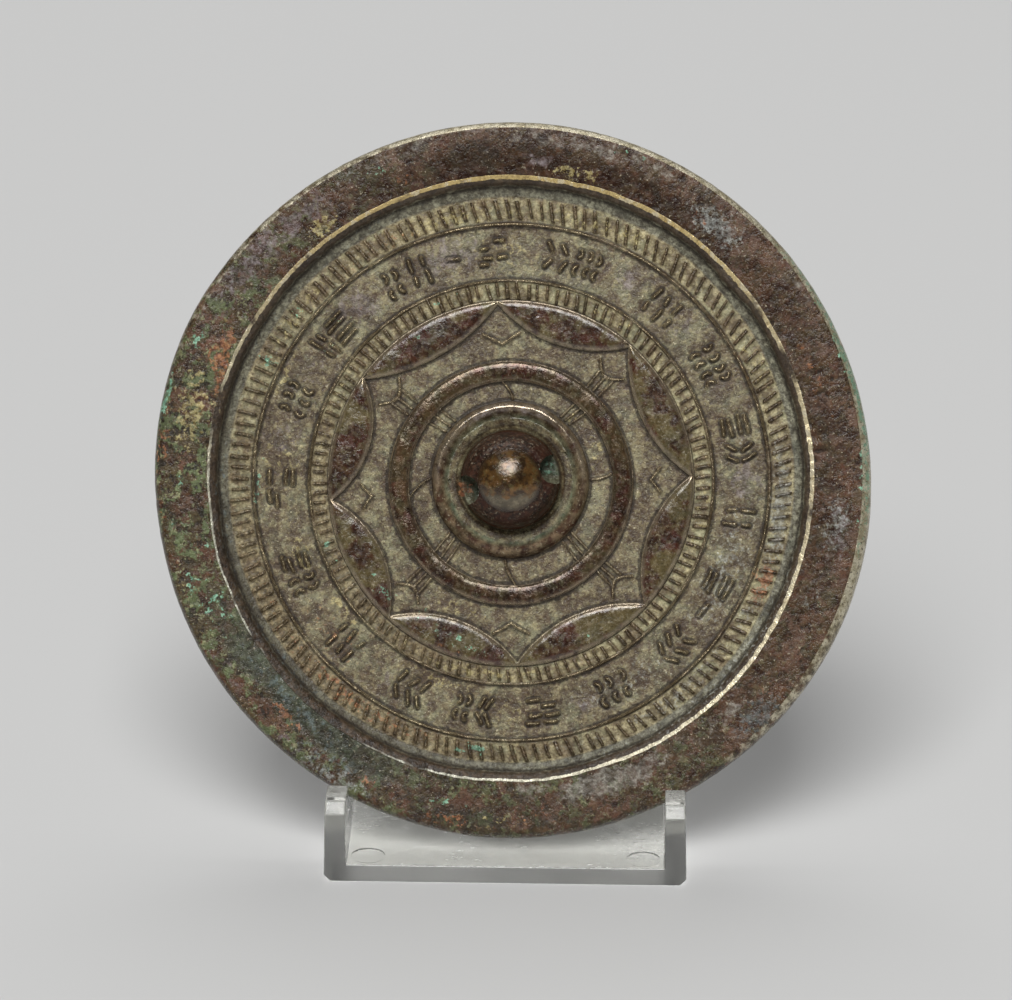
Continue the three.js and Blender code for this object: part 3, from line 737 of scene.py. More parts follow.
# ---------------------------------------------------------------------------------------------
# The clear stand
# ---------------------------------------------------------------------------------------------
H = -BOX_DEPTH / 2
HALF_W, PLATE, WALL, DRAFT, CORNER = 19.6, 2.0, 2.4, math.tan(math.radians(1.4)), 0.7
STAND_DX = -0.1


def along(s, off):
    return (7.1 + SIN * s + COS * off, PLATE + 0.3 + COS * s - SIN * off)


arm_off = 0.6
arm_start = (4.6 - PLATE - 0.3 + SIN * arm_off) / COS
foot, tip = along(arm_start, arm_off), along(36.0, arm_off)
WALL_OUTLINE = [
    (0, 0), (36.0, 0), (36.0, 2.8), (tip[0] + 3.3, tip[1] - 1.4), (tip[0] + 2.4, tip[1] - 0.2), (tip[0] + 0.6, tip[1] + 0.2), (tip[0], tip[1] - 0.5 * COS),
    foot, (5.3, 4.6), (5.3, 8.85), (5.05, 9.1), (1.2, 9.1), (0, 7.9),
]


def prism(name, outline, place, lengths):
    """A closed solid from an outline carried between two lengths; place turns (a, b, length) into x, y, z."""
    bm = bmesh.new()
    ends = [[bm.verts.new(place(a, b, t)) for a, b in outline] for t in lengths]
    n = len(outline)
    for k in range(n):
        bm.faces.new((ends[0][k], ends[0][(k + 1) % n], ends[1][(k + 1) % n], ends[1][k]))
    bm.faces.new(ends[0])
    bm.faces.new(ends[1])
    bmesh.ops.recalc_face_normals(bm, faces=bm.faces)
    me = bpy.data.meshes.new(name)
    bm.to_mesh(me)
    bm.free()
    ob = bpy.data.objects.new(name, me)
    bpy.context.scene.collection.objects.link(ob)
    return ob


def combine(ob, other, operation, solver="EXACT"):
    m = ob.modifiers.new("b", "BOOLEAN")
    m.operation, m.object, m.solver = operation, other, solver
    applied(ob)
    bpy.data.objects.remove(other)


side_view = lambda a, b, t: (t, a, b)
front_view = lambda a, b, t: (a, t, b)
stand = prism("clear_stand", WALL_OUTLINE, side_view, (-HALF_W, -HALF_W + WALL))
right_wall = prism("w", WALL_OUTLINE, side_view, (HALF_W - WALL, HALF_W))
trim = prism("t", [(-HALF_W + CORNER, -2), (HALF_W - CORNER, -2), (HALF_W - CORNER, 0), (HALF_W, CORNER), (HALF_W - 60 * DRAFT, 60), (-HALF_W + 60 * DRAFT, 60), (-HALF_W, CORNER), (-HALF_W + CORNER, 0)],
             front_view, (-3, 40))
plate = prism("p", [(-HALF_W + CORNER, 0), (HALF_W - CORNER, 0), (HALF_W, CORNER), (HALF_W - PLATE * DRAFT, PLATE), (-HALF_W + PLATE * DRAFT, PLATE), (-HALF_W, CORNER)], front_view, (0, 36.0))
combine(stand, right_wall, "UNION")
combine(stand, trim, "INTERSECT")
combine(stand, plate, "UNION")
bm = bmesh.new()
bm.from_mesh(stand.data)
bmesh.ops.remove_doubles(bm, verts=bm.verts, dist=1e-4)
bmesh.ops.dissolve_limit(bm, angle_limit=math.radians(0.3), verts=bm.verts, edges=bm.edges)
for v in bm.verts:
    v.co = Vector(((v.co.x + STAND_DX) * MM, (v.co.y + H) * MM, v.co.z * MM))
bm.to_mesh(stand.data)
bm.free()
print("stand volume", volume_sign(stand.data))
if volume_sign(stand.data) < 0:
    stand.data.flip_normals()
soft_edges = stand.modifiers.new("edges", "BEVEL")
soft_edges.width = 0.26 * MM
soft_edges.segments = 3
soft_edges.limit_method = "ANGLE"
soft_edges.angle_limit = math.radians(18)
soft_edges.use_clamp_overlap = True
applied(stand)
# two round ejector marks, sunk in the plate near its front; the moulding's slight unevenness is in the plastic's bump
bm = bmesh.new()
bm.from_mesh(stand.data)
print("stand open edges", sum(1 for e in bm.edges if len(e.link_faces) != 2), "faces", len(bm.faces))
bm.free()


def disc_cutter(x, y, r, depth):
    bm = bmesh.new()
    bmesh.ops.create_cone(bm, cap_ends=True, segments=48, radius1=(r - 0.06) * MM, radius2=(r + 0.03) * MM, depth=1.0 * MM)
    for v in bm.verts:
        v.co.x += (x + STAND_DX) * MM
        v.co.y += (y + H) * MM
        v.co.z += (PLATE + 0.5 - depth) * MM
    me = bpy.data.meshes.new("d")
    bm.to_mesh(me)
    bm.free()
    ob = bpy.data.objects.new("d", me)
    bpy.context.scene.collection.objects.link(ob)
    return ob


for sx in (-14.9, 14.9):
    combine(stand, disc_cutter(sx, 2.45, 1.9, 0.16), "DIFFERENCE", "MANIFOLD")
for q in stand.data.polygons:
    q.use_smooth = True
stand.data.set_sharp_from_angle(angle=math.radians(28))
even = stand.modifiers.new("flat_faces", "WEIGHTED_NORMAL")
even.mode = "FACE_AREA"
even.weight = 100
even.keep_sharp = True


# ---------------------------------------------------------------------------------------------
# Materials
# ---------------------------------------------------------------------------------------------
def srgb(r, g, b):
    def lin(c):
        c /= 255.0
        return c / 12.92 if c <= 0.04045 else ((c + 0.055) / 1.055) ** 2.4
    return (lin(r), lin(g), lin(b), 1.0)


class Tree:
    def __init__(self, name):
        self.material = bpy.data.materials.new(name)
        self.material.use_nodes = True
        self.t = self.material.node_tree
        self.t.nodes.clear()
        self.x = 0

    def add(self, kind, **settings):
        n = self.t.nodes.new(kind)
        self.x += 40
        n.location = (self.x, -(self.x * 3) % 900)
        for k, v in settings.items():
            setattr(n, k, v)
        return n

    def put(self, socket, value):
        if isinstance(value, bpy.types.NodeSocket):
            self.t.links.new(value, socket)
        else:
            socket.default_value = value

    def math(self, op, a, b=0.0, clamp=False, c=None):
        n = self.add("ShaderNodeMath", operation=op, use_clamp=clamp)
        self.put(n.inputs[0], a)
        self.put(n.inputs[1], b)
        if c is not None:
            self.put(n.inputs[2], c)
        return n.outputs[0]

    def mul(self, a, b): return self.math("MULTIPLY", a, b)
    def plus(self, a, b): return self.math("ADD", a, b)
    def minus(self, a, b): return self.math("SUBTRACT", a, b)
    def top(self, a, b): return self.math("MAXIMUM", a, b)

    def remap(self, v, a, b, c=0.0, d=1.0, soft=True):
        n = self.add("ShaderNodeMapRange", interpolation_type="SMOOTHSTEP" if soft else "LINEAR")
        for s, q in zip(n.inputs, (v, a, b, c, d)):
            self.put(s, q)
        return n.outputs[0]

    def mix(self, fac, a, b, blend="MIX"):
        n = self.add("ShaderNodeMix", data_type="RGBA", blend_type=blend)
        self.put(n.inputs[0], fac)
        self.put(n.inputs[6], a)
        self.put(n.inputs[7], b)
        return n.outputs[2]

    def noise(self, vec, scale, detail=2.0, rough=0.5, distortion=0.0, shift=0.0):
        if shift:
            m = self.add("ShaderNodeVectorMath", operation="ADD")
            self.put(m.inputs[0], vec)
            m.inputs[1].default_value = (shift, shift * 0.7, -shift * 1.3)
            vec = m.outputs[0]
        n = self.add("ShaderNodeTexNoise")
        self.put(n.inputs["Vector"], vec)
        n.inputs["Scale"].default_value = scale
        n.inputs["Detail"].default_value = detail
        n.inputs["Roughness"].default_value = rough
        n.inputs["Distortion"].default_value = distortion
        return n.outputs["Fac"]

    def cells(self, vec, scale, feature="F1"):
        n = self.add("ShaderNodeTexVoronoi", feature=feature)
        self.put(n.inputs["Vector"], vec)
        n.inputs["Scale"].default_value = scale
        return n.outputs["Distance"]

    def attribute(self, name):
        n = self.add("ShaderNodeAttribute", attribute_name=name)
        s = self.add("ShaderNodeSeparateColor")
        self.t.links.new(n.outputs["Color"], s.inputs[0])
        return s.outputs[0], s.outputs[1], s.outputs[2], n.outputs["Alpha"]

    def millimetres(self):
        c = self.add("ShaderNodeTexCoord")
        m = self.add("ShaderNodeVectorMath", operation="SCALE")
        self.t.links.new(c.outputs["Object"], m.inputs[0])
        m.inputs["Scale"].default_value = 1000.0
        return m.outputs[0]


def bronze_material():
    k = Tree("patinated_bronze")
    mm = k.millimetres()
    rim, gloss, proud, hollow = k.attribute("zone")
    slope, side, back, inside = k.attribute("place")
    knob, collar, comb, arcs = k.attribute("bits")
    mint, haze, rust, yellow = k.attribute("patina_a")
    lilac, blue, grey, dark = k.attribute("patina_b")

    big = k.noise(mm, 0.32, 3, 0.55)
    mid = k.noise(mm, 0.95, 3, 0.6, shift=11)
    small = k.noise(mm, 2.1, 3, 0.65, shift=23)
    fine = k.noise(mm, 3.6, 2, 0.6, shift=37)
    fine2 = k.noise(mm, 4.2, 2, 0.6, shift=53)
    grain = k.noise(mm, 8.0, 2, 0.6, shift=71)
    worn, band, moat, shade = k.attribute("wear")
    calm, thin_edge, top_half, _ = k.attribute("rim_parts")
    blotch = k.noise(mm, 0.42, 5, 0.6, shift=263)

    wide = k.noise(mm, 0.55, 3, 0.6, shift=91)
    patch_grain = k.noise(mm, 1.5, 3, 0.65, shift=171)
    radius = k.mul(worn, 40.0)
    bare_lit, green, lit_side, brown = k.attribute("zones")
    gold, from_axis, upward, rubbed_edge_sheen = k.attribute("tones")
    tilted = k.add("ShaderNodeMapping")
    tilted.inputs["Rotation"].default_value = (0.0, math.radians(40), 0.0)
    k.put(tilted.inputs["Vector"], mm)
    stretched = k.add("ShaderNodeVectorMath", operation="MULTIPLY")
    k.put(stretched.inputs[0], tilted.outputs[0])
    stretched.inputs[1].default_value = (0.55, 2.6, 2.6)
    drag = k.noise(stretched.outputs[0], 1.1, 2, 0.6, shift=191)
    crust_a = k.remap(k.noise(mm, 0.55, 5, 0.62, shift=211), 0.48, 0.54)
    crust_b = k.remap(k.noise(mm, 0.6, 5, 0.68, shift=223), 0.53, 0.59)
    crust_c = k.remap(k.noise(mm, 0.42, 5, 0.62, shift=239), 0.53, 0.58)
    crust_d = k.remap(k.noise(mm, 1.1, 4, 0.66, shift=251), 0.57, 0.63)

    # the field: brown and olive mottling, green-grey in places, with small pale and dark specks
    ground = k.mix(k.remap(mid, 0.34, 0.62), srgb(88, 70, 49), srgb(134, 120, 89))
    ground = k.mix(k.mul(k.remap(big, 0.44, 0.6), 0.6), ground, srgb(112, 114, 90))
    ground = k.mix(k.mul(k.remap(wide, 0.48, 0.6), 0.7), ground, srgb(88, 67, 49))
    ground = k.mix(k.mul(k.remap(blotch, 0.51, 0.57), 0.6), ground, srgb(82, 64, 46))
    ground = k.mix(k.mul(k.remap(blotch, 0.46, 0.4), 0.5), ground, srgb(140, 136, 106))
    ground = k.mix(k.mul(k.remap(patch_grain, 0.5, 0.64), 0.5), ground, srgb(150, 140, 104))
    ground = k.mix(k.mul(k.remap(drag, 0.52, 0.66), 0.4), ground, srgb(84, 66, 48))
    ground = k.mix(k.mul(k.remap(small, 0.56, 0.66), 0.35), ground, srgb(160, 150, 116))
    ground = k.mix(k.mul(k.remap(fine2, 0.56, 0.64), 0.55), ground, srgb(54, 41, 28))
    ground = k.mix(k.mul(k.mul(crust_b, k.plus(0.3, k.mul(brown, 0.4))), 0.8), ground, srgb(86, 68, 50))
    ground = k.mix(k.mul(crust_d, 0.4), ground, srgb(148, 142, 110))
    ground = k.mix(k.mul(k.remap(fine, 0.63, 0.7), 0.6), ground, srgb(206, 196, 164))
    # in the combs the patina between the teeth is lighter and greener
    gaps = k.mix(k.remap(patch_grain, 0.38, 0.62), srgb(140, 126, 88), srgb(198, 186, 144))
    gaps = k.mix(k.mul(k.remap(big, 0.46, 0.6), 0.5), gaps, srgb(150, 156, 124))
    gaps = k.mix(k.mul(k.remap(wide, 0.52, 0.62), 0.7), gaps, srgb(110, 90, 66))
    gaps = k.mix(k.mul(crust_a, 0.35), gaps, srgb(104, 88, 62))
    gaps = k.mix(k.mul(brown, 0.7), gaps, k.mix(k.remap(small, 0.4, 0.6), srgb(92, 76, 56), srgb(144, 124, 92)))
    gaps = k.mix(k.mul(k.remap(fine2, 0.55, 0.64), 0.5), gaps, srgb(88, 70, 48))
    in_comb = k.top(k.mul(k.remap(radius, 28.25, 28.5), k.remap(radius, 30.95, 30.6)), k.mul(k.remap(radius, 19.95, 20.1), k.remap(radius, 21.9, 21.7)))
    ground = k.mix(k.mul(in_comb, 0.85), ground, gaps)
    # the teeth and marks are rubbed darker than the patina between them
    rubbed = k.mix(k.remap(small, 0.38, 0.62), srgb(50, 37, 26), srgb(96, 78, 58))
    ground = k.mix(k.mul(k.remap(proud, 0.15, 0.55), k.mul(k.plus(0.62, k.mul(in_comb, 0.26)), k.minus(1.0, k.mul(brown, 0.4)))), ground, rubbed)
    ground = k.mix(k.mul(k.mul(k.remap(proud, 0.8, 0.98), k.minus(1.0, in_comb)), k.remap(mid, 0.45, 0.6, 0.1, 0.6)), ground, srgb(150, 136, 108))

    # arcs, ring band, collar and knob: smooth dark brown with olive and reddish parts
    skin = k.mix(k.remap(mid, 0.36, 0.62), srgb(48, 29, 18), srgb(78, 54, 36))
    skin = k.mix(k.mul(k.remap(wide, 0.5, 0.62), 0.6), skin, srgb(80, 38, 26))
    skin = k.mix(k.mul(k.remap(big, 0.47, 0.58), k.plus(0.35, k.mul(arcs, 0.4))), skin, srgb(98, 88, 56))
    skin = k.mix(k.mul(k.mul(crust_b, k.minus(1.0, knob)), 0.5), skin, srgb(94, 88, 62))
    skin = k.mix(k.mul(k.remap(patch_grain, 0.54, 0.66), k.plus(0.14, k.mul(arcs, 0.2))), skin, srgb(112, 104, 78))
    skin = k.mix(k.mul(collar, 0.55), skin, k.mix(k.remap(mid, 0.38, 0.6), srgb(66, 48, 36), srgb(118, 104, 80)))
    skin = k.mix(k.mul(k.remap(fine, 0.61, 0.69), 0.5), skin, srgb(160, 150, 126))
    skin = k.mix(k.mul(k.remap(fine2, 0.58, 0.66), 0.5), skin, srgb(30, 20, 13))
    # the hollow round the knob: grey-green over brown
    hollow_tone = k.mix(k.remap(mid, 0.38, 0.62), srgb(92, 90, 68), srgb(126, 128, 102))
    hollow_tone = k.mix(k.mul(k.remap(wide, 0.46, 0.58), 0.7), hollow_tone, srgb(92, 112, 92))
    hollow_tone = k.mix(k.mul(k.remap(fine2, 0.58, 0.66), 0.5), hollow_tone, srgb(50, 40, 30))
    foot_line = k.mul(k.remap(from_axis, 0.515, 0.54), k.remap(from_axis, 0.578, 0.556))
    hollow_tone = k.mix(k.mul(foot_line, 0.9), hollow_tone, srgb(34, 27, 19))
    skin = k.mix(k.mul(moat, 0.85), skin, hollow_tone)
    # the knob's cap is rubbed to a warm brown, its lower part painted greyer as a painted reflection, darker towards
    # its edge; its skirt is dark, rough and pale-specked, the dark partly grime and partly painted shade on its steep
    # sides
    cap = k.mix(k.remap(mid, 0.38, 0.6), srgb(58, 40, 20), srgb(104, 74, 38))
    cap = k.mix(k.mul(k.remap(patch_grain, 0.5, 0.62), 0.5), cap, srgb(92, 84, 54))
    cap = k.mix(k.remap(k.plus(k.plus(upward, k.mul(k.minus(mid, 0.5), 0.25)), k.mul(from_axis, -0.45)), 0.27, 0.22), cap, k.mix(k.remap(mid, 0.4, 0.6), srgb(92, 82, 64), srgb(116, 106, 86)))
    cap = k.mix(k.remap(from_axis, 0.28, 0.35), cap, srgb(52, 38, 26))
    skirt = k.mix(k.remap(small, 0.38, 0.62), srgb(40, 27, 20), srgb(70, 50, 37))
    skirt = k.mix(k.mul(k.remap(fine, 0.57, 0.66), 0.6), skirt, srgb(136, 128, 110))
    skirt = k.mix(k.mul(k.remap(fine2, 0.54, 0.62), 0.7), skirt, srgb(24, 17, 12))
    on_cap = k.remap(k.plus(from_axis, k.mul(k.minus(mid, 0.5), 0.03)), 0.352, 0.34)
    skirt = k.mix(k.mul(k.remap(blotch, 0.5, 0.56), 0.6), skirt, srgb(66, 36, 26))
    skin = k.mix(k.mul(knob, k.minus(1.0, k.mul(foot_line, 0.8))), skin, k.mix(on_cap, skirt, cap))
    colour = k.mix(gloss, ground, skin)

    # the rim: dark brown with reddish and near-black parts, greener and crusted round the left and below
    face = k.mix(k.remap(mid, 0.34, 0.64), srgb(50, 30, 20), srgb(98, 68, 48))
    face = k.mix(k.mul(k.remap(wide, 0.48, 0.6), 0.6), face, srgb(92, 50, 36))
    face = k.mix(k.mul(k.remap(big, 0.46, 0.54), 0.7), face, srgb(40, 24, 16))
    face = k.mix(k.mul(crust_c, 0.55), face, srgb(112, 88, 72))
    face = k.mix(k.mul(k.remap(drag, 0.5, 0.62), 0.35), face, srgb(108, 88, 62))
    face = k.mix(k.mul(crust_b, 0.35), face, srgb(84, 76, 48))
    face = k.mix(k.mul(shade, k.remap(k.plus(mid, k.mul(k.minus(small, 0.5), 0.6)), 0.42, 0.56, 0.95, 0.6)), face, srgb(42, 25, 18))
    olive = k.mix(crust_a, srgb(78, 66, 42), srgb(98, 108, 72))
    olive = k.mix(k.mul(crust_c, 0.85), olive, srgb(92, 56, 40))
    olive = k.mix(k.mul(crust_b, 0.9), olive, srgb(30, 23, 15))
    olive = k.mix(k.mul(crust_d, 0.75), olive, srgb(150, 152, 112))
    face = k.mix(k.mul(k.mul(green, 0.95), k.remap(k.plus(wide, k.mul(k.minus(small, 0.5), 0.3)), 0.4, 0.5)), face, olive)
    quiet = k.mix(k.remap(mid, 0.38, 0.62), srgb(50, 52, 42), srgb(78, 83, 68))
    quiet = k.mix(k.mul(k.remap(blotch, 0.5, 0.6), 0.5), quiet, srgb(72, 60, 44))
    face = k.mix(k.mul(calm, 0.88), face, quiet)
    face = k.mix(k.mul(k.remap(fine2, 0.58, 0.66), 0.55), face, srgb(26, 16, 11))
    face = k.mix(k.mul(k.remap(fine, 0.64, 0.71), 0.6), face, srgb(186, 176, 152))
    colour = k.mix(k.remap(radius, 32.9, 32.98), colour, face)
    # below the rim's edge: a dark line, then the grey-green hollow foot
    foot = k.mix(k.remap(small, 0.38, 0.6), srgb(94, 90, 74), srgb(142, 140, 120))
    foot = k.mix(k.mul(k.remap(wide, 0.5, 0.62), 0.5), foot, srgb(88, 92, 80))
    foot = k.mix(k.mul(crust_b, 0.5), foot, srgb(58, 50, 38))
    foot = k.mix(k.mul(brown, 0.75), foot, k.mix(crust_a, srgb(70, 62, 46), srgb(108, 104, 86)))
    foot = k.mix(k.mul(k.remap(fine2, 0.55, 0.64), 0.5), foot, srgb(40, 34, 26))
    foot = k.mix(k.remap(k.plus(radius, k.mul(k.minus(mid, 0.5), 0.5)), 31.78, 31.98), foot, k.mix(k.mul(brown, 0.6), k.mix(small, srgb(34, 25, 18), srgb(80, 64, 50)), k.mix(k.remap(patch_grain, 0.42, 0.58), srgb(20, 15, 10), srgb(66, 46, 32))))
    colour = k.mix(k.mul(k.mul(k.remap(radius, 30.65, 30.95), k.remap(radius, 32.96, 32.9)), 0.9), colour, foot)

    # kinds of patina, each breaking up at its own grain
    def show(amount, speck, low, strength=1.0, soft=0.16):
        edge = k.remap(k.plus(speck, k.mul(amount, 0.34)), low, low + soft)
        inner = k.remap(patch_grain, 0.36, 0.6, 0.45, 1.0)
        return k.mul(k.mul(k.mul(edge, inner), k.remap(amount, 0.02, 0.35)), strength)

    def tones(a, b, by):
        return k.mix(k.remap(by, 0.36, 0.62), a, b)

    colour = k.mix(show(grey, mid, 0.6, 0.7), colour, tones(srgb(112, 106, 96), srgb(158, 154, 144), small))
    colour = k.mix(show(dark, small, 0.62, 0.85), colour, tones(srgb(30, 24, 18), srgb(56, 46, 34), fine))
    colour = k.mix(show(lilac, mid, 0.6, 0.65), colour, tones(srgb(96, 82, 80), srgb(134, 124, 126), small))
    colour = k.mix(show(blue, patch_grain, 0.64, 0.5), colour, tones(srgb(58, 68, 68), srgb(104, 118, 120), small))
    colour = k.mix(show(yellow, patch_grain, 0.66, 0.75, 0.08), colour, tones(srgb(134, 118, 72), srgb(182, 170, 122), small))
    colour = k.mix(show(haze, small, 0.62, 0.6), colour, tones(srgb(118, 120, 114), srgb(176, 180, 176), fine))
    colour = k.mix(show(rust, patch_grain, 0.67, 0.75, 0.08), colour, tones(srgb(112, 66, 44), srgb(160, 110, 74), small))
    colour = k.mix(show(mint, patch_grain, 0.71, 0.9, 0.06), colour, tones(srgb(96, 142, 116), srgb(152, 194, 166), fine))

    # light and dark grain through all of it
    colour = k.mix(1.0, colour, k.remap(patch_grain, 0.36, 0.64, 0.86, 1.15), "MULTIPLY")
    colour = k.mix(1.0, colour, k.remap(small, 0.36, 0.64, 0.9, 1.11), "MULTIPLY")
    colour = k.mix(1.0, colour, k.remap(blotch, 0.38, 0.62, 1.14, 0.88), "MULTIPLY")
    colour = k.mix(1.0, colour, k.remap(big, 0.4, 0.6, 0.9, 1.1), "MULTIPLY")

    # painted shade darkening the hollows; pale worn metal on the highest edges, partly a painted highlight
    hollow_shade = k.mul(k.remap(hollow, 0.55, 0.76), k.remap(fine, 0.3, 0.55, 0.6, 1.0))
    hollow_shade = k.mul(hollow_shade, k.minus(1.0, k.mul(in_comb, 0.7)))
    colour = k.mix(k.mul(hollow_shade, 0.85), colour, srgb(38, 29, 21))
    # high edges painted pale, as worn metal and as a painted highlight; on the collar only the upper half, which faces
    # the light, keeps it
    crest_wear_highlight = k.remap(k.plus(hollow, k.mul(k.minus(small, 0.5), 0.4)), 0.2, 0.04)
    crest_wear_highlight = k.mul(crest_wear_highlight, k.mul(k.minus(1.0, in_comb), k.minus(1.0, k.mul(slope, 0.85))))
    crest_wear_highlight = k.mul(crest_wear_highlight, k.minus(1.0, k.mul(k.mul(collar, 0.9), k.minus(1.0, top_half))))
    colour = k.mix(k.mul(crest_wear_highlight, 0.25), colour, srgb(168, 152, 116))
    # rubbed edges painted pale: worn metal and a painted highlight, on the collar only on its upper, lit half
    worn_sheen = k.mul(rubbed_edge_sheen, k.remap(k.plus(mid, k.mul(k.minus(fine2, 0.5), 0.4)), 0.4, 0.5, 0.15, 1.0))
    worn_sheen = k.mul(worn_sheen, k.minus(1.0, k.mul(k.mul(collar, 0.9), k.minus(1.0, top_half))))
    colour = k.mix(k.mul(worn_sheen, 0.6), colour, srgb(176, 160, 136))
    # the rim's inner edge is bare worn metal in a narrow crisp strip, also painted near white as a painted highlight:
    # golden at the top, pale cream lower down
    lip = k.plus(radius, k.mul(k.minus(patch_grain, 0.5), 0.35))
    strip = k.mul(k.mul(k.remap(k.minus(lip, k.mul(thin_edge, 0.26)), 32.46, 32.52), k.remap(radius, 32.95, 32.91)), k.remap(k.plus(bare_lit, k.mul(k.minus(wide, 0.5), 0.8)), 0.25, 0.5))
    bare_lit_tone = k.mix(gold, srgb(226, 218, 192), srgb(216, 190, 128))
    bare_lit_tone = k.mix(k.mul(k.remap(small, 0.5, 0.66), 0.55), bare_lit_tone, srgb(140, 116, 76))
    bare_lit_tone = k.mix(k.mul(k.remap(mid, 0.52, 0.62), 0.5), bare_lit_tone, srgb(240, 232, 208))
    bare_lit_tone = k.mix(k.mul(thin_edge, 0.8), bare_lit_tone, srgb(186, 188, 176))
    colour = k.mix(k.mul(strip, 0.95), colour, bare_lit_tone)

    # the plain polished side: thin even brown patina, with old scratches in the bump
    mirror_face = k.mix(k.remap(big, 0.4, 0.6), srgb(104, 90, 68), srgb(80, 80, 62))
    mirror_face = k.mix(k.mul(k.remap(blotch, 0.48, 0.58), 0.7), mirror_face, srgb(70, 56, 42))
    mirror_face = k.mix(k.mul(k.remap(mid, 0.5, 0.62), 0.4), mirror_face, srgb(122, 112, 86))
    clouds = k.mul(k.remap(k.noise(mm, 0.13, 5, 0.62, shift=131), 0.5, 0.64), k.remap(k.plus(small, k.mul(k.minus(mid, 0.5), 0.8)), 0.4, 0.6, 0.15, 1.0))
    mirror_face = k.mix(k.mul(clouds, 0.6), mirror_face, srgb(112, 126, 102))
    mirror_face = k.mix(k.mul(k.remap(fine2, 0.58, 0.66), 0.6), mirror_face, srgb(46, 38, 30))
    mirror_face = k.mix(k.mul(k.remap(fine, 0.62, 0.7), 0.5), mirror_face, srgb(168, 160, 132))
    colour = k.mix(back, colour, mirror_face)
    # painted highlight: the rim's outer side edge painted pale cream and partly metallic where it faces the light
    side_highlight_tone = k.mix(k.remap(mid, 0.4, 0.6), srgb(170, 160, 130), srgb(214, 206, 180))
    side_highlight_tone = k.mix(k.mul(k.remap(fine2, 0.56, 0.66), 0.8), side_highlight_tone, srgb(58, 48, 38))
    side_highlight = k.mul(k.remap(radius, 38.12, 38.24), k.remap(k.plus(lit_side, k.mul(k.minus(mid, 0.5), 1.2)), 0.3, 0.7))
    colour = k.mix(k.mul(k.mul(side_highlight, k.minus(1.0, back)), 0.85), colour, side_highlight_tone)
    colour = k.mix(show(mint, small, 0.66, k.mul(side, 0.8)), colour, srgb(120, 168, 140))
    # orange-brown dirt at the tunnel's left mouth; inside, dark packed dirt that also serves as painted shade deep in
    # the hole
    colour = k.mix(k.mul(inside, 0.85), colour, k.mix(small, srgb(30, 24, 18), srgb(66, 50, 36)))

    rough = k.math("ADD", k.remap(small, 0.35, 0.65, 0.36, 0.56), k.mul(k.top(gloss, k.mul(proud, 0.9)), -0.22))
    rough = k.minus(rough, k.mul(k.remap(radius, 32.9, 33.0), k.remap(wide, 0.46, 0.6, 0.2, 0.06)))
    rough = k.minus(rough, k.mul(k.top(crest_wear_highlight, side), 0.1))
    rough = k.minus(rough, k.mul(strip, 0.1))
    rough = k.minus(rough, k.mul(worn_sheen, 0.08))
    rough = k.plus(rough, k.mul(k.top(haze, k.top(mint, grey)), 0.12))
    rough = k.plus(rough, k.mul(k.top(hollow_shade, inside), 0.25))
    rough = k.plus(rough, k.mul(k.mul(knob, k.minus(1.0, on_cap)), 0.2))
    rough = k.minus(rough, k.mul(k.mul(knob, on_cap), 0.06))
    dull = k.top(k.mul(collar, k.minus(1.0, top_half)), k.mul(k.remap(from_axis, 0.51, 0.53), k.remap(from_axis, 0.61, 0.585)))
    rough = k.plus(rough, k.mul(dull, 0.3))
    rough = k.plus(rough, k.mul(k.minus(fine, 0.5), 0.25))
    rough = k.math("MINIMUM", k.math("MAXIMUM", rough, 0.2), 0.95)

    metal = k.plus(k.mul(crest_wear_highlight, 0.3), k.plus(k.mul(gloss, 0.08), k.plus(k.mul(proud, 0.3), k.mul(side_highlight, 0.4))))
    metal = k.plus(metal, k.mul(strip, 0.45))
    metal = k.math("MINIMUM", k.plus(metal, k.plus(k.mul(worn_sheen, 0.6), k.mul(k.mul(knob, on_cap), 0.2))), 1.0)
    metal = k.plus(metal, k.mul(back, 0.25))

    relief = k.plus(k.mul(patch_grain, 0.9), k.plus(k.mul(small, 0.85), k.mul(fine, 0.5)))
    relief = k.plus(relief, k.plus(k.mul(grain, 0.12), k.mul(drag, 0.3)))
    relief = k.plus(relief, k.mul(k.plus(k.mul(crust_a, 0.22), k.mul(crust_d, 0.2)), k.plus(0.25, green)))
    relief = k.minus(relief, k.mul(crust_b, k.mul(green, 0.25)))
    relief = k.mul(relief, k.remap(gloss, 0.0, 1.0, 1.0, 0.24))
    relief = k.mul(relief, k.minus(1.0, k.mul(k.top(shade, calm), k.mul(k.remap(radius, 32.9, 33.0), 0.45))))
    relief = k.minus(relief, k.mul(k.remap(k.cells(mm, 2.1), 0.22, 0.05), k.mul(k.remap(mid, 0.5, 0.62), 0.4)))
    bump = k.add("ShaderNodeBump")
    bump.inputs["Strength"].default_value = 0.95
    bump.inputs["Distance"].default_value = 0.14 * MM
    k.put(bump.inputs["Height"], relief)

    s = k.add("ShaderNodeBsdfPrincipled")
    k.put(s.inputs["Base Color"], colour)
    k.put(s.inputs["Roughness"], rough)
    k.put(s.inputs["Metallic"], metal)
    k.put(s.inputs["Normal"], bump.outputs[0])
    s.inputs["IOR"].default_value = 1.95
    sheen = k.minus(k.plus(0.2, k.mul(k.minus(gloss, k.mul(knob, k.minus(1.0, on_cap))), 0.12)), k.mul(k.remap(radius, 32.9, 33.0), k.plus(0.06, k.mul(shade, 0.08))))
    sheen = k.mul(k.minus(sheen, k.mul(k.mul(knob, k.minus(1.0, on_cap)), 0.1)), k.minus(1.0, k.mul(dull, 0.85)))
    k.put(s.inputs["Specular IOR Level"], sheen)
    o = k.add("ShaderNodeOutputMaterial")
    k.t.links.new(s.outputs[0], o.inputs[0])
    return k.material


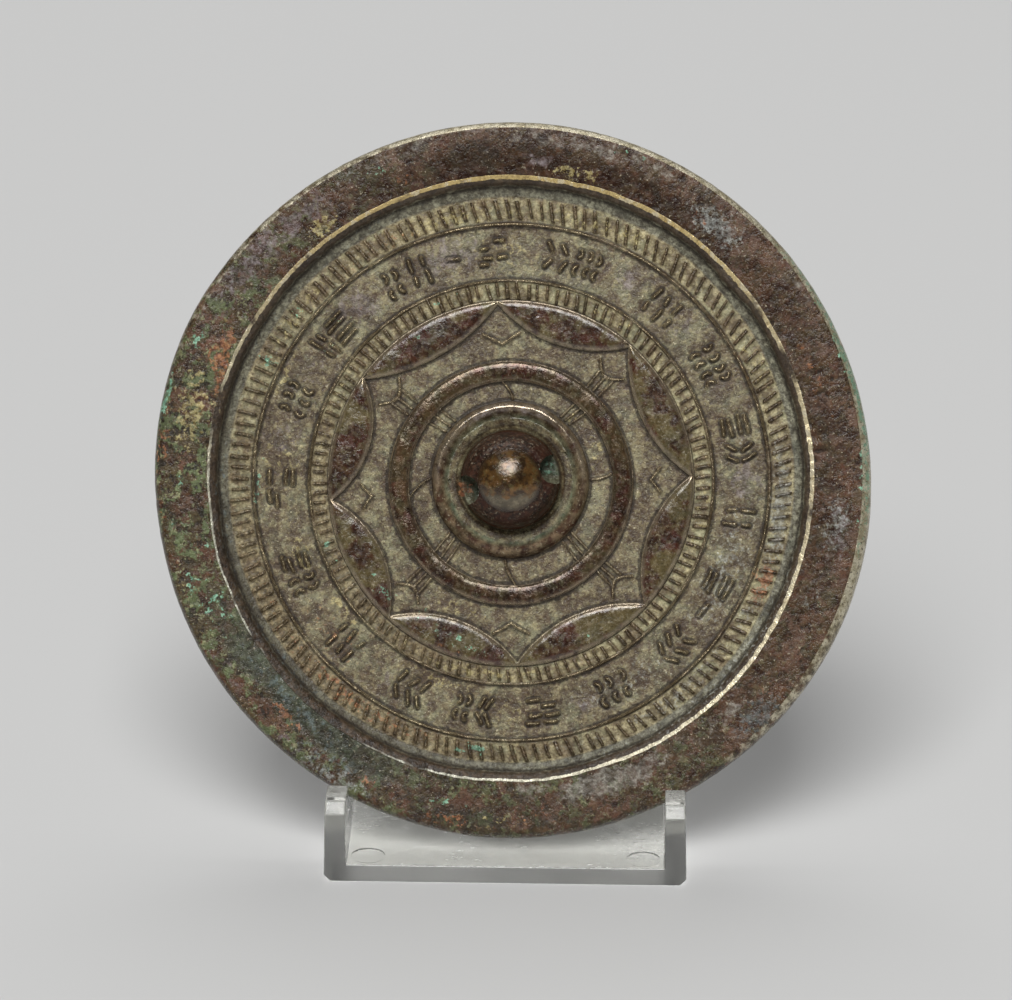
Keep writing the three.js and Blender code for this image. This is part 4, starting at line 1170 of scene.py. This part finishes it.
def plastic_material():
    k = Tree("clear_moulded_plastic")
    mm = k.millimetres()
    stretch = k.add("ShaderNodeVectorMath", operation="MULTIPLY")
    k.put(stretch.inputs[0], mm)
    stretch.inputs[1].default_value = (0.35, 1.0, 1.6)
    wave = k.noise(mm, 0.16, 2, 0.4)
    scuffs = k.noise(stretch.outputs[0], 2.4, 3, 0.7, shift=5)
    relief = k.plus(k.mul(wave, 1.0), k.mul(scuffs, 0.11))
    bump = k.add("ShaderNodeBump")
    bump.inputs["Strength"].default_value = 0.35
    bump.inputs["Distance"].default_value = 0.12 * MM
    k.put(bump.inputs["Height"], relief)
    s = k.add("ShaderNodeBsdfPrincipled")
    # painted shade: the clear plastic is tinted grey, partly its own slight greyness and partly standing in for the
    # shadow the stand doesn't cast
    s.inputs["Base Color"].default_value = (0.66, 0.66, 0.63, 1.0)
    s.inputs["Transmission Weight"].default_value = 1.0
    s.inputs["IOR"].default_value = 1.49
    coords = k.add("ShaderNodeTexCoord")
    facing = k.add("ShaderNodeSeparateXYZ")
    k.put(facing.inputs[0], coords.outputs["Normal"])
    satin = k.remap(facing.outputs[1], -0.6, -0.95)
    smears = k.remap(k.noise(mm, 0.11, 4, 0.6, shift=17), 0.46, 0.6, 0.0, 0.14)
    k.put(s.inputs["Roughness"], k.plus(k.plus(k.remap(scuffs, 0.4, 0.75, 0.05, 0.2), smears), k.mul(satin, 0.4)))
    k.put(s.inputs["Normal"], bump.outputs[0])
    o = k.add("ShaderNodeOutputMaterial")
    k.t.links.new(s.outputs[0], o.inputs[0])
    return k.material


mirror.data.materials.clear()
mirror.data.materials.append(bronze_material())
stand.data.materials.clear()
stand.data.materials.append(plastic_material())

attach(mirror, "root")
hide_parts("mirror")
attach(stand, "root")
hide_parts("stand")
stand.visible_shadow = False    # the thin clear walls throw next to no shadow
bpy.context.scene.cycles.max_bounces = 20
bpy.context.scene.cycles.diffuse_bounces = 2
bpy.context.scene.cycles.glossy_bounces = 16
bpy.context.scene.cycles.transmission_bounces = 16

# ---------------------------------------------------------------------------------------------
# Floor, light, camera
# ---------------------------------------------------------------------------------------------
me = bpy.data.meshes.new("floor")
bm = bmesh.new()
g = 3.0
for x, y in ((-g, -g), (g, -g), (g, g), (-g, g)):
    bm.verts.new((x, y, -0.00004))
bm.faces.new(bm.verts)
bm.to_mesh(me)
bm.free()
floor = bpy.data.objects.new("floor", me)
bpy.context.scene.collection.objects.link(floor)
k = Tree("pale_floor")
s = k.add("ShaderNodeBsdfPrincipled")
s.inputs["Base Color"].default_value = (0.58, 0.58, 0.575, 1)
s.inputs["Roughness"].default_value = 0.55
s.inputs["Specular IOR Level"].default_value = 0.2
o = k.add("ShaderNodeOutputMaterial")
k.t.links.new(s.outputs[0], o.inputs[0])
floor.data.materials.append(k.material)


def area(name, place, aim, size, size_y, power, colour=(1, 1, 1)):
    d = bpy.data.lights.new(name, "AREA")
    d.shape = "RECTANGLE"
    d.size, d.size_y, d.energy, d.color = size, size_y, power, colour
    ob = bpy.data.objects.new(name, d)
    ob.location = place
    ob.rotation_euler = (Vector(aim) - Vector(place)).to_track_quat("-Z", "Y").to_euler()
    bpy.context.scene.collection.objects.link(ob)
    return ob


area("front_softbox", (-0.22, -1.95, 2.9), (0.0, 0.0, 0.03), 1.95, 1.95, 117.0)
area("back_softbox", (0.0, 0.78, 1.2), (0.0, 0.24, 0.0), 1.3, 0.8, 8.4)

world = bpy.data.worlds.new("studio")
world.use_nodes = True
world.node_tree.nodes["Background"].inputs[0].default_value = (1.0, 1.0, 1.0, 1)
world.node_tree.nodes["Background"].inputs[1].default_value = 0.04
bpy.context.scene.world = world

cam_data = bpy.data.cameras.new("camera")
cam_data.sensor_width = 36.0
cam_data.sensor_fit = "HORIZONTAL"
cam_data.lens = 182.5
cam_data.clip_start, cam_data.clip_end = 0.01, 20.0
camera = bpy.data.objects.new("camera", cam_data)
az, el = math.radians(1.8), math.radians(22.0)
back_v = Vector((math.sin(az) * math.cos(el), -math.cos(az) * math.cos(el), math.sin(el)))
right_v = Vector((math.cos(az), math.sin(az), 0.0))
up_v = back_v.cross(right_v)
camera.location = (Vector((0.0, 3.55, 38.0)) + back_v * 560.0 - right_v * 0.655 - up_v * 1.9) * MM
camera.rotation_euler = back_v.to_track_quat("Z", "Y").to_euler()
bpy.context.scene.collection.objects.link(camera)
bpy.context.scene.camera = camera
bpy.context.scene.view_settings.view_transform = "Standard"
bpy.context.scene.view_settings.look = "None"
